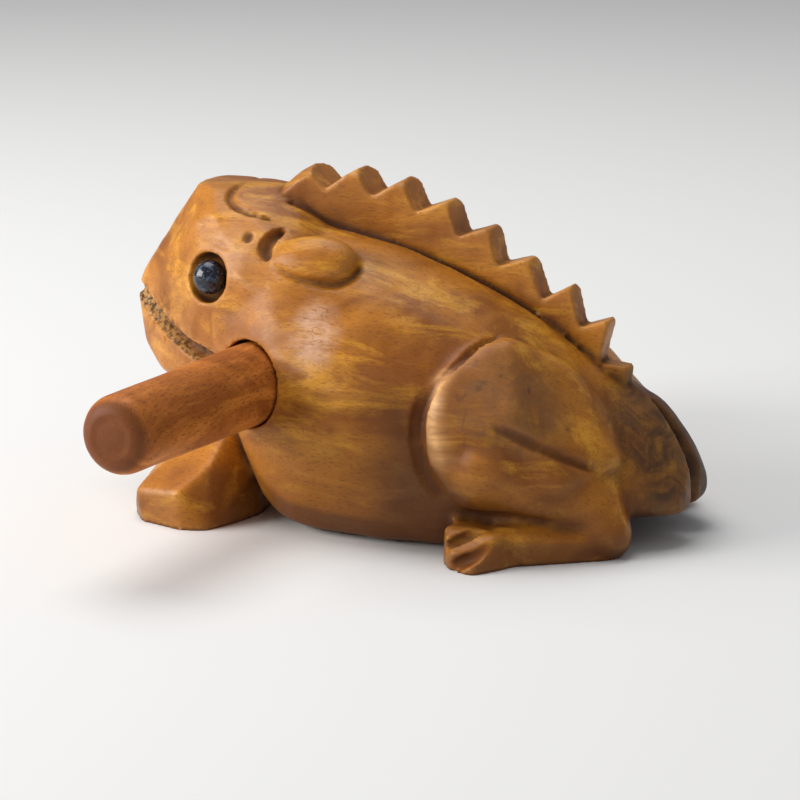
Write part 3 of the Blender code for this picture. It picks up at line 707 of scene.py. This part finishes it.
def add_head_marks(skin, collection):
    """Tool marks that set off the brow, the back band and the oval behind the eye."""
    band = ((0.0, -35.6, 67.0), (6.0, -36.4, 65.8), (10.6, -35.6, 64.0), (13.0, -31.0, 61.8),
            (13.6, -24.0, 60.2))
    under_brow = ((-43.6, 57.0), (-40.0, 56.6), (-36.0, 56.0), (-31.6, 55.2), (-29.0, 54.4))
    brow_nick = ((-27.8, 58.8), (-27.7, 57.8), (-27.6, 56.8))
    front_notch = ((-21.2, 59.4), (-22.9, 57.8), (-23.2, 55.8), (-22.0, 53.8))
    oval_edge = ((-20.6, 53.2), (-15.8, 51.5), (-11.0, 50.7), (-6.4, 50.4), (-3.6, 51.6), (-2.8, 53.6))
    add_tube_pair("band_groove", band, BAND_GROOVE_WIDTH, collection)
    add_side_marks("under_brow", skin, under_brow, UNDER_BROW_WIDTH, UNDER_BROW_DEPTH, collection)
    add_side_marks("brow_nick", skin, brow_nick, BROW_NICK_WIDTH, BROW_NICK_DEPTH, collection)
    add_side_marks("front_notch", skin, front_notch, FRONT_NOTCH_WIDTH, FRONT_NOTCH_DEPTH, collection)
    add_side_marks("oval_edge", skin, oval_edge, OVAL_EDGE_WIDTH, OVAL_EDGE_DEPTH, collection)


def add_base_grooves(skin, collection):
    """A fine line along each foot of the ridge."""
    line = []
    for step in range(BASE_GROOVE_STEPS + 1):
        share = step / BASE_GROOVE_STEPS
        start = place(0.0, between(BASE_GROOVE_FRONT, BASE_GROOVE_REAR, share), DRAWN_HEIGHT * 2)
        start.x = (half_width_at(share) + BASE_GROOVE_WIDTH / 4) * MM
        line.append(skin.ray_cast(start, Vector((0.0, 0.0, -1.0)))[0])
    add_tube("base_groove_left", line, BASE_GROOVE_WIDTH, collection)
    add_tube("base_groove_right", mirrored(line), BASE_GROOVE_WIDTH, collection)


def add_rump_groove(collection):
    """The deep V between the two halves of the rump."""
    line = ((0, 50.4, 34), (0, 54.9, 19.1), (0, 57.4, 9), (0, 58, 2))
    sides = ((2.6, 59, 36), (3.2, 65, 19), (3.6, 67, 2))
    add_form("rump_groove", both_sides([place(*point) for point in line + sides]), collection)


def bore_centre():
    return Vector((0.0, BORE_Y, BORE_Z)) * MM


def bore_axis():
    """The bore rises and turns a little towards the snout on the frog's left side."""
    slope = math.radians(BORE_SLOPE)
    turn = math.radians(BORE_TURN)
    return Vector((math.cos(slope) * math.cos(turn), -math.cos(slope) * math.sin(turn), math.sin(slope)))


def add_bore(collection):
    radius = (STICK_DIAMETER + BORE_CLEARANCE) / 2
    add_cylinder("stick_bore", bore_centre(), bore_axis(), radius, DRAWN_SPAN * 1.5, collection, 48)


def set_boolean(item, operation, tool=None, tools=None):
    """Adds or cuts away one tool, or a whole collection of them."""
    modifier = item.modifiers.new(operation.lower(), "BOOLEAN")
    modifier.operation = operation
    modifier.solver = "EXACT"
    if tool:
        modifier.object = tool
    else:
        modifier.operand_type = "COLLECTION"
        modifier.collection = tools


def apply_modifiers(item):
    """Bakes an object's modifiers into a fresh mesh."""
    mesh = bpy.data.meshes.new_from_object(item.evaluated_get(bpy.context.evaluated_depsgraph_get()))
    item.modifiers.clear()
    item.data = mesh


def remesh(item, grain, passes):
    blend = item.modifiers.new("blend_forms", "REMESH")
    blend.mode = "VOXEL"
    blend.voxel_size = grain * MM
    blend.use_smooth_shade = True
    sand = item.modifiers.new("sanding", "SMOOTH")
    sand.factor = 0.5
    sand.iterations = passes
    apply_modifiers(item)


def smoothed(values, edges, passes):
    """Values spread over neighbouring vertices, a few times over."""
    count = np.bincount(edges.ravel(), minlength=len(values)).reshape(-1, 1)
    for _ in range(passes):
        total = np.zeros_like(values)
        for column in range(values.shape[1]):
            total[:, column] = (
                np.bincount(edges[:, 0], values[edges[:, 1], column], len(values))
                + np.bincount(edges[:, 1], values[edges[:, 0], column], len(values))
            )
        values = 0.5 * values + 0.5 * total / np.maximum(count, 1)
    return values


def mesh_arrays(mesh):
    """Positions and normals in millimetres, and the edges, of a mesh."""
    points = np.empty(len(mesh.vertices) * 3)
    mesh.vertices.foreach_get("co", points)
    normals = np.empty(len(mesh.vertices) * 3)
    mesh.vertex_normals.foreach_get("vector", normals)
    edges = np.empty(len(mesh.edges) * 2, dtype=np.int64)
    mesh.edges.foreach_get("vertices", edges)
    return points.reshape(-1, 3) / MM, normals.reshape(-1, 3), edges.reshape(-1, 2)


def near_line(points, line, width):
    """1 on a line of points, falling to 0 at the given distance from it."""
    best = np.full(len(points), 1e9)
    for a, b in zip(line, line[1:]):
        a, b = np.array(a, float), np.array(b, float)
        along = np.clip((points - a) @ (b - a) / max((b - a) @ (b - a), 1e-9), 0.0, 1.0)
        best = np.minimum(best, np.linalg.norm(points - a - along[:, None] * (b - a), axis=1))
    return np.clip(1.0 - best / width, 0.0, 1.0)


def near_point(points, centre, radii):
    """1 at a centre, falling to 0 at the given radii."""
    away = (points - np.array(centre, float)) / np.array(radii, float)
    return np.clip(1.0 - np.linalg.norm(away, axis=1), 0.0, 1.0)


def noise_values(points, scale, seed):
    shift = Vector((seed * 17.3, seed * 5.1, seed * 9.7))
    return np.array([noise.noise(Vector(point) * scale + shift) for point in points])


def add_mask(mesh, name, values):
    layer = mesh.attributes.new(name, "FLOAT", "POINT")
    layer.data.foreach_set("value", np.clip(values, 0.0, 1.0).astype(np.float32))


# Lines on the left side, for the painted highlight on the thigh's rim and the painted shade in front of
# it
THIGH_RIM_HIGHLIGHT_LINE = ((29.5, 19.5, 34.5), (33.0, 18.8, 30.4), (35.0, 20.0, 25.0), (35.8, 22.0, 21.0))
GROIN_SHADE_LINE = ((33.5, 11.0, 28.0), (33.3, 15.0, 17.0), (33.0, 18.0, 11.0), (32.9, 17.0, 6.5),
              (31.0, 16.0, 2.0))


def roughen(mesh, both):
    """Waves from the tools over the whole surface, and pits along the mouth; the soles stay flat."""
    points, normals = mesh_arrays(mesh)[:2]
    uneven = noise_values(points, 0.11, 1) * BROAD_WAVE + noise_values(points, 0.3, 2) * FINE_WAVE
    mouth = near_line(both, MOUTH_LINE, 3.4) > 0.05
    pits = np.zeros(len(points))
    pits[mouth] = np.clip(noise_values(points[mouth], 0.9, 3) - 0.1, 0.0, 0.4) * PIT_DEPTH
    standing = points[:, 2] > SOLE_HEIGHT
    points += normals * ((uneven * standing) - pits)[:, None]
    points[:, 2] = np.maximum(points[:, 2], 0.0)
    points[~standing, 2] = np.where(points[~standing, 2] < SOLE_FLAT, 0.0, points[~standing, 2])
    mesh.vertices.foreach_set("co", (points * MM).ravel())
    mesh.update()


def mark_wear_and_painted_light(mesh, both):
    """Masks for the materials: hollows with pooled lacquer and painted shade, worn edges with painted
    highlight, stains, the burnt rump, painted sheen, a painted rim highlight and painted shade below.
    """
    points, normals, edges = mesh_arrays(mesh)
    near = smoothed(points, edges, 20)
    far = smoothed(near, edges, 110)
    sharp = np.einsum("ij,ij->i", near - points, normals)
    broad = np.einsum("ij,ij->i", far - points, normals)
    # Hollows: darkened for the lacquer pooled in them and as painted shade
    cavity = np.clip(sharp * 1.8, 0.0, 1.0) + np.clip(broad * 0.42 - 0.06, 0.0, 0.85)
    cavity = np.clip(cavity, 0.0, 1.0)
    add_mask(mesh, "cavity", smoothed(cavity[:, None], edges, 2)[:, 0])
    # Convex edges, made lighter for wear and as a painted highlight
    add_mask(mesh, "worn_edge", smoothed(np.clip(-sharp * 1.5, 0.0, 1.0)[:, None], edges, 1)[:, 0])
    add_mask(mesh, "mouth_grain", near_line(both, MOUTH_LINE, MOUTH_GRAIN_REACH))
    burn = np.clip((points[:, 1] - BURN_FRONT) / BURN_FADE, 0.0, 1.0)
    burn *= np.clip((BURN_TOP - points[:, 2]) / BURN_FADE, 0.0, 1.0)
    burn *= np.clip((BURN_HALF_WIDTH - np.abs(points[:, 0])) / BURN_SIDE_FADE, 0.0, 1.0)
    add_mask(mesh, "burn", burn)
    # The burnt rump made darker still towards the frog's right side
    left_side = np.clip(0.5 + points[:, 0] / 12.0, 0.0, 1.0)
    add_mask(mesh, "soot", burn * (1.0 - 0.75 * left_side))
    add_mask(mesh, "thigh_stain", near_point(both, THIGH_STAIN_CENTRE, THIGH_STAIN_REACH) * 1.9)
    # Patch on the flank: painted pale as a sheen, with the lacquer's cracks drawn in it
    crackle_and_sheen = near_point(points, CRACKLE_AND_SHEEN_CENTRE, CRACKLE_AND_SHEEN_REACH) * 1.7
    crackle_and_sheen[crackle_and_sheen > 0] *= 1.0 + noise_values(points[crackle_and_sheen > 0], 0.3, 5) * 0.4
    add_mask(mesh, "dry_patch", crackle_and_sheen)
    # Rough patch under the brow, which is also painted paler as a sheen
    add_mask(mesh, "brow_patch", near_point(both, BROW_ROUGH_SHEEN_CENTRE, BROW_ROUGH_SHEEN_REACH) * 1.7)
    # Painted highlight along the thigh's front rim, on faces turned towards the front
    rim_highlight = near_line(both, THIGH_RIM_HIGHLIGHT_LINE, THIGH_RIM_HIGHLIGHT_REACH) * np.clip(0.6 - normals[:, 1], 0.0, 1.0)
    add_mask(mesh, "thigh_rim", rim_highlight * 1.4 * (1.0 - cavity))
    # Painted shade: darker on low faces that look down, and in the hollow in front of the thigh
    facing_down_shade = np.clip(0.45 - normals[:, 2], 0.0, 1.0) * np.clip((30.0 - points[:, 2]) / 24.0, 0.0, 1.0)
    groin_shade = near_line(both, GROIN_SHADE_LINE, GROIN_SHADE_REACH)
    add_mask(mesh, "grime", np.clip(facing_down_shade * 1.1 + groin_shade * 0.9, 0.0, 1.0) * (np.abs(points[:, 1]) < 58.0))


def weather_and_paint_light(mesh):
    """Gives the finished carving its tool marks and pits, and marks where it is stained or worn and where
    light and shade are painted.
    """
    both = mesh_arrays(mesh)[0]
    both[:, 0] = np.abs(both[:, 0])
    roughen(mesh, both)
    mark_wear_and_painted_light(mesh, both)


def make_carving():
    forms = new_collection("forms")
    mesh = add_block_out(forms)
    body = bpy.data.objects.new("carved_frog", mesh)
    forms.objects.link(body)
    remesh(body, BLOCK_GRAIN, BLOCK_SANDING)
    skin = BVHTree.FromObject(body, bpy.context.evaluated_depsgraph_get())
    ridge = add_ridge(forms)
    set_boolean(body, "UNION", tool=ridge)
    cuts = new_collection("cuts")
    add_tooth_cuts(cuts)
    add_base_grooves(skin, cuts)
    add_head_marks(skin, cuts)
    add_mouth(cuts)
    add_sockets(cuts)
    add_creases(skin, cuts)
    add_toe_cuts(cuts)
    add_rump_groove(cuts)
    add_bore(cuts)
    add_chamber(cuts)
    add_floor_cut(cuts)
    set_boolean(body, "DIFFERENCE", tools=cuts)
    apply_modifiers(body)
    for tool in [ridge] + list(cuts.objects):
        bpy.data.objects.remove(tool, do_unlink=True)
    bpy.data.collections.remove(cuts)
    remesh(body, SKIN_GRAIN, SKIN_SANDING)
    faces = sum(len(polygon.vertices) - 2 for polygon in body.data.polygons)
    thin = body.modifiers.new("fewer_faces", "DECIMATE")
    thin.ratio = min(1.0, SKIN_FACES / faces)
    apply_modifiers(body)
    weather_and_paint_light(body.data)
    body.data.shade_smooth()
    bpy.context.scene.collection.objects.link(body)
    forms.objects.unlink(body)
    bpy.data.collections.remove(forms)
    return body


def new_collection(name):
    collection = bpy.data.collections.new(name)
    bpy.context.scene.collection.children.link(collection)
    return collection


# Materials
class Graph:
    """A short way to write a material's nodes."""

    def __init__(self, name):
        self.material = bpy.data.materials.new(name)
        self.material.use_nodes = True
        self.nodes = self.material.node_tree.nodes
        self.links = self.material.node_tree.links
        self.shader = self.nodes["Principled BSDF"]
        self.place = self.nodes.new("ShaderNodeTexCoord").outputs["Object"]

    def link(self, source, target):
        if isinstance(source, (int, float)):
            target.default_value = source
        elif isinstance(source, tuple):
            target.default_value = source if len(source) == 4 else (*source, 1.0)
        else:
            self.links.new(source, target)

    def mask(self, name):
        node = self.nodes.new("ShaderNodeAttribute")
        node.attribute_name = name
        return node.outputs["Fac"]

    def noise(self, scale, detail=2.0, stretch=(1.0, 1.0, 1.0), roughness=0.5, distortion=0.0):
        mapping = self.nodes.new("ShaderNodeMapping")
        mapping.inputs["Scale"].default_value = stretch
        self.link(self.place, mapping.inputs["Vector"])
        node = self.nodes.new("ShaderNodeTexNoise")
        node.inputs["Scale"].default_value = scale
        node.inputs["Detail"].default_value = detail
        node.inputs["Roughness"].default_value = roughness
        node.inputs["Distortion"].default_value = distortion
        self.link(mapping.outputs["Vector"], node.inputs["Vector"])
        return node.outputs["Fac"]

    def ramp(self, source, low, high, start=0.0, end=1.0):
        node = self.nodes.new("ShaderNodeMapRange")
        node.interpolation_type = "SMOOTHSTEP"
        node.inputs["From Min"].default_value = low
        node.inputs["From Max"].default_value = high
        node.inputs["To Min"].default_value = start
        node.inputs["To Max"].default_value = end
        self.link(source, node.inputs["Value"])
        return node.outputs["Result"]

    def math(self, operation, a, b):
        node = self.nodes.new("ShaderNodeMath")
        node.operation = operation
        self.link(a, node.inputs[0])
        self.link(b, node.inputs[1])
        return node.outputs[0]

    def mix(self, share, a, b):
        node = self.nodes.new("ShaderNodeMix")
        node.data_type = "RGBA"
        self.link(share, node.inputs["Factor"])
        self.link(a, node.inputs["A"])
        self.link(b, node.inputs["B"])
        return node.outputs["Result"]

    def tint(self, colour, share, strength, tone):
        """The colour, turned towards a tone where the share says so."""
        return self.mix(self.math("MULTIPLY", share, strength), colour, tone)

    def bump(self, height, strength, distance, below=None):
        node = self.nodes.new("ShaderNodeBump")
        node.inputs["Strength"].default_value = strength
        node.inputs["Distance"].default_value = distance * MM
        self.link(height, node.inputs["Height"])
        if below is not None:
            self.link(below, node.inputs["Normal"])
        return node.outputs["Normal"]

    def finish(self, colour, roughness, normal):
        self.link(colour, self.shader.inputs["Base Color"])
        self.link(roughness, self.shader.inputs["Roughness"])
        self.link(normal, self.shader.inputs["Normal"])
        return self.material


def wood_colour(graph, light, middle, dark, grain):
    """Streaks along the grain over broad patches, with short dark pores."""
    broad = graph.noise(42.0, 3.0, (1.0, 0.5, 1.0), 0.6, 1.2)
    streak = graph.noise(170.0, 6.0, grain, 0.65, 0.8)
    fine = graph.noise(1100.0, 3.0, grain, 0.6)
    colour = graph.mix(graph.ramp(broad, 0.34, 0.64), dark, middle)
    colour = graph.mix(graph.ramp(streak, 0.45, 0.7, 0.0, 0.75), colour, light)
    colour = graph.mix(graph.ramp(fine, 0.5, 0.7, 0.0, 0.3), colour, dark)
    pores = graph.ramp(graph.noise(3400.0, 1.0, grain), 0.57, 0.67)
    return colour, pores, streak


def body_wood():
    graph = Graph("honey_lacquered_wood")
    colour, pores, streak = wood_colour(graph, WOOD_LIGHT, WOOD_MIDDLE, WOOD_DARK, CARVING_GRAIN)
    colour = graph.tint(colour, pores, 0.4, PORE_TONE)
    stain = graph.ramp(graph.noise(130.0, 5.0, (1.0, 1.0, 1.0), 0.65, 1.5), 0.3, 0.65, 0.45, 1.0)
    thigh = graph.math("MULTIPLY", graph.mask("thigh_stain"), stain)
    colour = graph.tint(colour, thigh, 0.85, THIGH_STAIN_TONE)
    scratch = graph.ramp(graph.noise(260.0, 2.0, (1.0, 1.0, 0.12), 0.5, 0.6), 0.6, 0.66)
    scratch = graph.math("MULTIPLY", scratch, graph.mask("thigh_stain"))
    colour = graph.tint(colour, scratch, 0.5, SCRATCH_TONE)
    burn = graph.math("MULTIPLY", graph.mask("burn"), stain)
    colour = graph.tint(colour, burn, 0.95, BURN_TONE)
    crack = graph.noise(190.0, 3.0, (1.0, 1.0, 3.2), 0.5, 1.0)
    crack = graph.math("ABSOLUTE", graph.math("SUBTRACT", crack, 0.5), 0.0)
    crack = graph.ramp(crack, 0.006, 0.016, 1.0, 0.0)
    crack = graph.math("MULTIPLY", crack, graph.math("MAXIMUM", graph.mask("dry_patch"), burn))
    colour = graph.tint(colour, crack, 0.55, CRACK_TONE)
    # Hollows darkened: pooled lacquer and painted shade
    colour = graph.tint(colour, graph.mask("cavity"), 0.94, HOLLOW_LACQUER_AND_SHADE_TONE)
    # Edges lightened: wear and painted highlight
    colour = graph.tint(colour, graph.mask("worn_edge"), 0.5, WORN_EDGE_AND_HIGHLIGHT_TONE)
    # Painted shade below and in front of the thigh
    colour = graph.tint(colour, graph.mask("grime"), 0.85, PAINTED_SHADE_BELOW_TONE)
    # Burnt rump darker towards the right side
    colour = graph.tint(colour, graph.mask("soot"), 0.8, RUMP_RIGHT_DARK_TONE)
    # Painted highlight on the thigh's rim
    rim_highlight = graph.math("MULTIPLY", graph.mask("thigh_rim"), graph.ramp(streak, 0.35, 0.6, 0.35, 0.8))
    colour = graph.mix(rim_highlight, colour, PAINTED_THIGH_RIM_HIGHLIGHT_TONE)
    mottle = graph.ramp(graph.noise(420.0, 5.0, (1.0, 0.4, 1.0), 0.7), 0.35, 0.62, 0.35, 1.0)
    # Painted sheen on the flank, broken by the cracks
    painted_sheen = graph.math("SUBTRACT", graph.mask("dry_patch"), graph.math("MULTIPLY", crack, 0.6))
    colour = graph.tint(colour, graph.math("MULTIPLY", painted_sheen, mottle), 0.7, PAINTED_SHEEN_TONE)
    # Rough brow patch with painted sheen
    brow_rough_sheen = graph.math("MULTIPLY", graph.mask("brow_patch"), mottle)
    colour = graph.tint(colour, brow_rough_sheen, 0.45, BROW_ROUGH_SHEEN_TONE)
    speck = graph.ramp(graph.noise(1250.0, 2.0), 0.42, 0.6)
    end_grain = graph.mix(speck, END_GRAIN_TONE, END_GRAIN_PIT_TONE)
    colour = graph.mix(graph.ramp(graph.mask("mouth_grain"), 0.4, 0.6), colour, end_grain)
    roughness = graph.ramp(streak, 0.3, 0.7, 0.46, 0.34)
    dull = graph.math("MULTIPLY", graph.math("MAXIMUM", thigh, burn), 0.18)
    roughness = graph.math("ADD", roughness, dull)
    dusty = graph.math("MULTIPLY", graph.mask("cavity"), 0.4)
    roughness = graph.math("ADD", roughness, dusty)
    normal = graph.bump(graph.math("ADD", pores, crack), -0.5, 0.25)
    normal = graph.bump(graph.noise(1500.0, 3.0, (1.0, 0.3, 1.0), 0.7), 0.4, 0.12, normal)
    normal = graph.bump(graph.noise(420.0, 4.0, (1.0, 0.5, 1.0)), 0.5, 0.3, normal)
    graph.shader.inputs["Specular IOR Level"].default_value = 0.2
    graph.shader.inputs["Coat Weight"].default_value = 0.1
    graph.shader.inputs["Coat Roughness"].default_value = 0.3
    return graph.finish(colour, roughness, normal)


def stick_wood():
    graph = Graph("reddish_stick_wood")
    colour, pores, streak = wood_colour(graph, STICK_LIGHT, STICK_MIDDLE, STICK_DARK, STICK_GRAIN)
    colour = graph.tint(colour, pores, 0.5, STICK_PORE_TONE)
    colour = graph.tint(colour, graph.mask("end_face"), 0.85, STICK_END_TONE)
    roughness = graph.ramp(streak, 0.3, 0.7, 0.55, 0.42)
    normal = graph.bump(pores, -0.4, 0.2)
    normal = graph.bump(graph.noise(300.0, 4.0, (0.5, 1.0, 1.0)), 0.3, 0.25, normal)
    graph.shader.inputs["Specular IOR Level"].default_value = 0.18
    return graph.finish(colour, roughness, normal)


def bead_glass():
    graph = Graph("speckled_bead")
    specks = graph.ramp(graph.noise(1300.0, 3.0), 0.5, 0.66)
    colour = graph.mix(specks, BEAD_DARK, BEAD_SPECK)
    normal = graph.bump(graph.noise(900.0, 2.0), 0.15, 0.1)
    return graph.finish(colour, graph.ramp(specks, 0.0, 1.0, 0.14, 0.3), normal)


def make_bead(name, node):
    """A ground bead: a finely cut oval with a slightly flattened front."""
    low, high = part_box(node)
    side = 1.0 if high.x > 0 else -1.0
    axis = Vector((EYE_AXIS.x * side, EYE_AXIS.y, EYE_AXIS.z))
    bm = bmesh.new()
    bmesh.ops.create_icosphere(bm, subdivisions=5, radius=0.5)
    for vert in bm.verts:
        ripple = noise.noise(vert.co * 5.0) * 0.012
        vert.co *= 1.0 + ripple
        vert.co.x *= EYE_DIAMETER * MM
        vert.co.y *= EYE_DIAMETER * MM
        vert.co.z *= EYE_THICKNESS * MM
    turn = Vector((0.0, 0.0, 1.0)).rotation_difference(axis).to_matrix().to_4x4()
    bmesh.ops.transform(bm, matrix=Matrix.Translation((low + high) / 2) @ turn, verts=bm.verts)
    bead = object_from_bmesh(name, bm, bpy.context.scene.collection)
    bead.data.shade_smooth()
    return bead


def make_stick():
    """The turned stick, a little uneven, thinner towards its worn round ends."""
    centre = (STICK_LOW + STICK_HIGH) / 2
    half = STICK_LENGTH / 2
    radius = STICK_TIP_DIAMETER / 2
    corner = STICK_END_RADIUS
    cap = [(half, radius * 0.05), (half - 0.05, radius * 0.35), (half - 0.2, (radius - corner) * 0.96)]
    for step in range(1, 13):
        turn = math.pi / 2 * step / 12
        cap.append((half - corner + corner * math.cos(turn), radius - corner + corner * math.sin(turn)))
    rows = list(cap)
    waist = DRAWN_SPAN * STICK_WAIST_SHARE
    for step in range(1, 60):
        x = (half - corner) * (1.0 - step / 30)
        thick = min((half - corner - abs(x)) / (half - corner - waist), 1.0)
        rows.append((x, radius + (STICK_DIAMETER - STICK_TIP_DIAMETER) / 2 * thick))
    rows += [(-x, r) for x, r in cap[::-1]]
    along = bore_axis()
    up = (Vector((0.0, 0.0, 1.0)) - along * along.z).normalized()
    across = up.cross(along)
    rings = []
    for x, r in rows:
        ring = []
        for step in range(96):
            turn = 2 * math.pi * step / 96
            out = across * math.cos(turn) + up * math.sin(turn)
            point = along * x + out * r
            wear = noise.noise(point * 0.07) * 0.16 + noise.noise(point * 0.35) * 0.04 - 0.12
            ring.append(centre + (point + out * wear * min(r / radius, 1.0)) * MM)
        rings.append(ring)
    bm = bmesh.new()
    add_loft(bm, rings)
    stick = object_from_bmesh("turned_stick", bm, bpy.context.scene.collection)
    points = mesh_arrays(stick.data)[0]
    reach = np.abs((points - np.array(centre) / MM) @ np.array(along))
    add_mask(stick.data, "end_face", (reach - (half - corner * 0.55)) / 1.2)
    stick.data.shade_smooth()
    return stick


# Studio
def add_light(name, place_at, target, size, power, colour):
    lamp = bpy.data.lights.new(name, "AREA")
    lamp.shape = "RECTANGLE"
    lamp.size, lamp.size_y = size
    lamp.energy = power
    lamp.color = colour
    item = bpy.data.objects.new(name, lamp)
    item.location = place_at
    item.rotation_euler = (Vector(target) - Vector(place_at)).to_track_quat("-Z", "Y").to_euler()
    bpy.context.scene.collection.objects.link(item)


def add_studio():
    bm = bmesh.new()
    bmesh.ops.create_grid(bm, x_segments=1, y_segments=1, size=FLOOR_SIZE)
    floor = object_from_bmesh("floor", bm, bpy.context.scene.collection)
    paint = bpy.data.materials.new("pale_floor")
    paint.use_nodes = True
    paint.node_tree.nodes["Principled BSDF"].inputs["Base Color"].default_value = FLOOR_COLOUR
    paint.node_tree.nodes["Principled BSDF"].inputs["Roughness"].default_value = 0.9
    floor.data.materials.append(paint)
    add_light("key", KEY_PLACE, KEY_TARGET, KEY_SIZE, KEY_POWER, KEY_TONE)
    add_light("top", TOP_PLACE, TOP_TARGET, TOP_SIZE, TOP_POWER, TOP_TONE)
    world = bpy.data.worlds.new("studio")
    world.use_nodes = True
    world.node_tree.nodes["Background"].inputs["Color"].default_value = WORLD_TONE
    world.node_tree.nodes["Background"].inputs["Strength"].default_value = WORLD_STRENGTH
    bpy.context.scene.world = world
    bpy.context.scene.view_settings.view_transform = "Standard"


def add_camera():
    """The camera stands where the photograph was taken from."""
    lens = bpy.data.cameras.new("camera")
    lens.lens = 135.0
    lens.sensor_width = 36.0
    camera = bpy.data.objects.new("camera", lens)
    camera.location = CAMERA_PLACE
    azimuth = math.radians(CAMERA_AZIMUTH)
    elevation = math.radians(CAMERA_ELEVATION)
    camera.rotation_euler = (math.pi / 2 - elevation, 0.0, azimuth)
    bpy.context.scene.collection.objects.link(camera)
    bpy.context.scene.camera = camera


def main():
    add_camera()
    carving = make_carving()
    carving.data.materials.append(body_wood())
    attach(carving, "root")
    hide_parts("frog_body")
    glass = bead_glass()
    for name, node in (("left_bead", "left_eye"), ("right_bead", "right_eye")):
        bead = make_bead(name, node)
        bead.data.materials.append(glass)
        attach(bead, "root")
        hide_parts(node)
    stick = make_stick()
    stick.data.materials.append(stick_wood())
    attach(stick, "root")
    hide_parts("striker_stick")
    add_studio()


main()
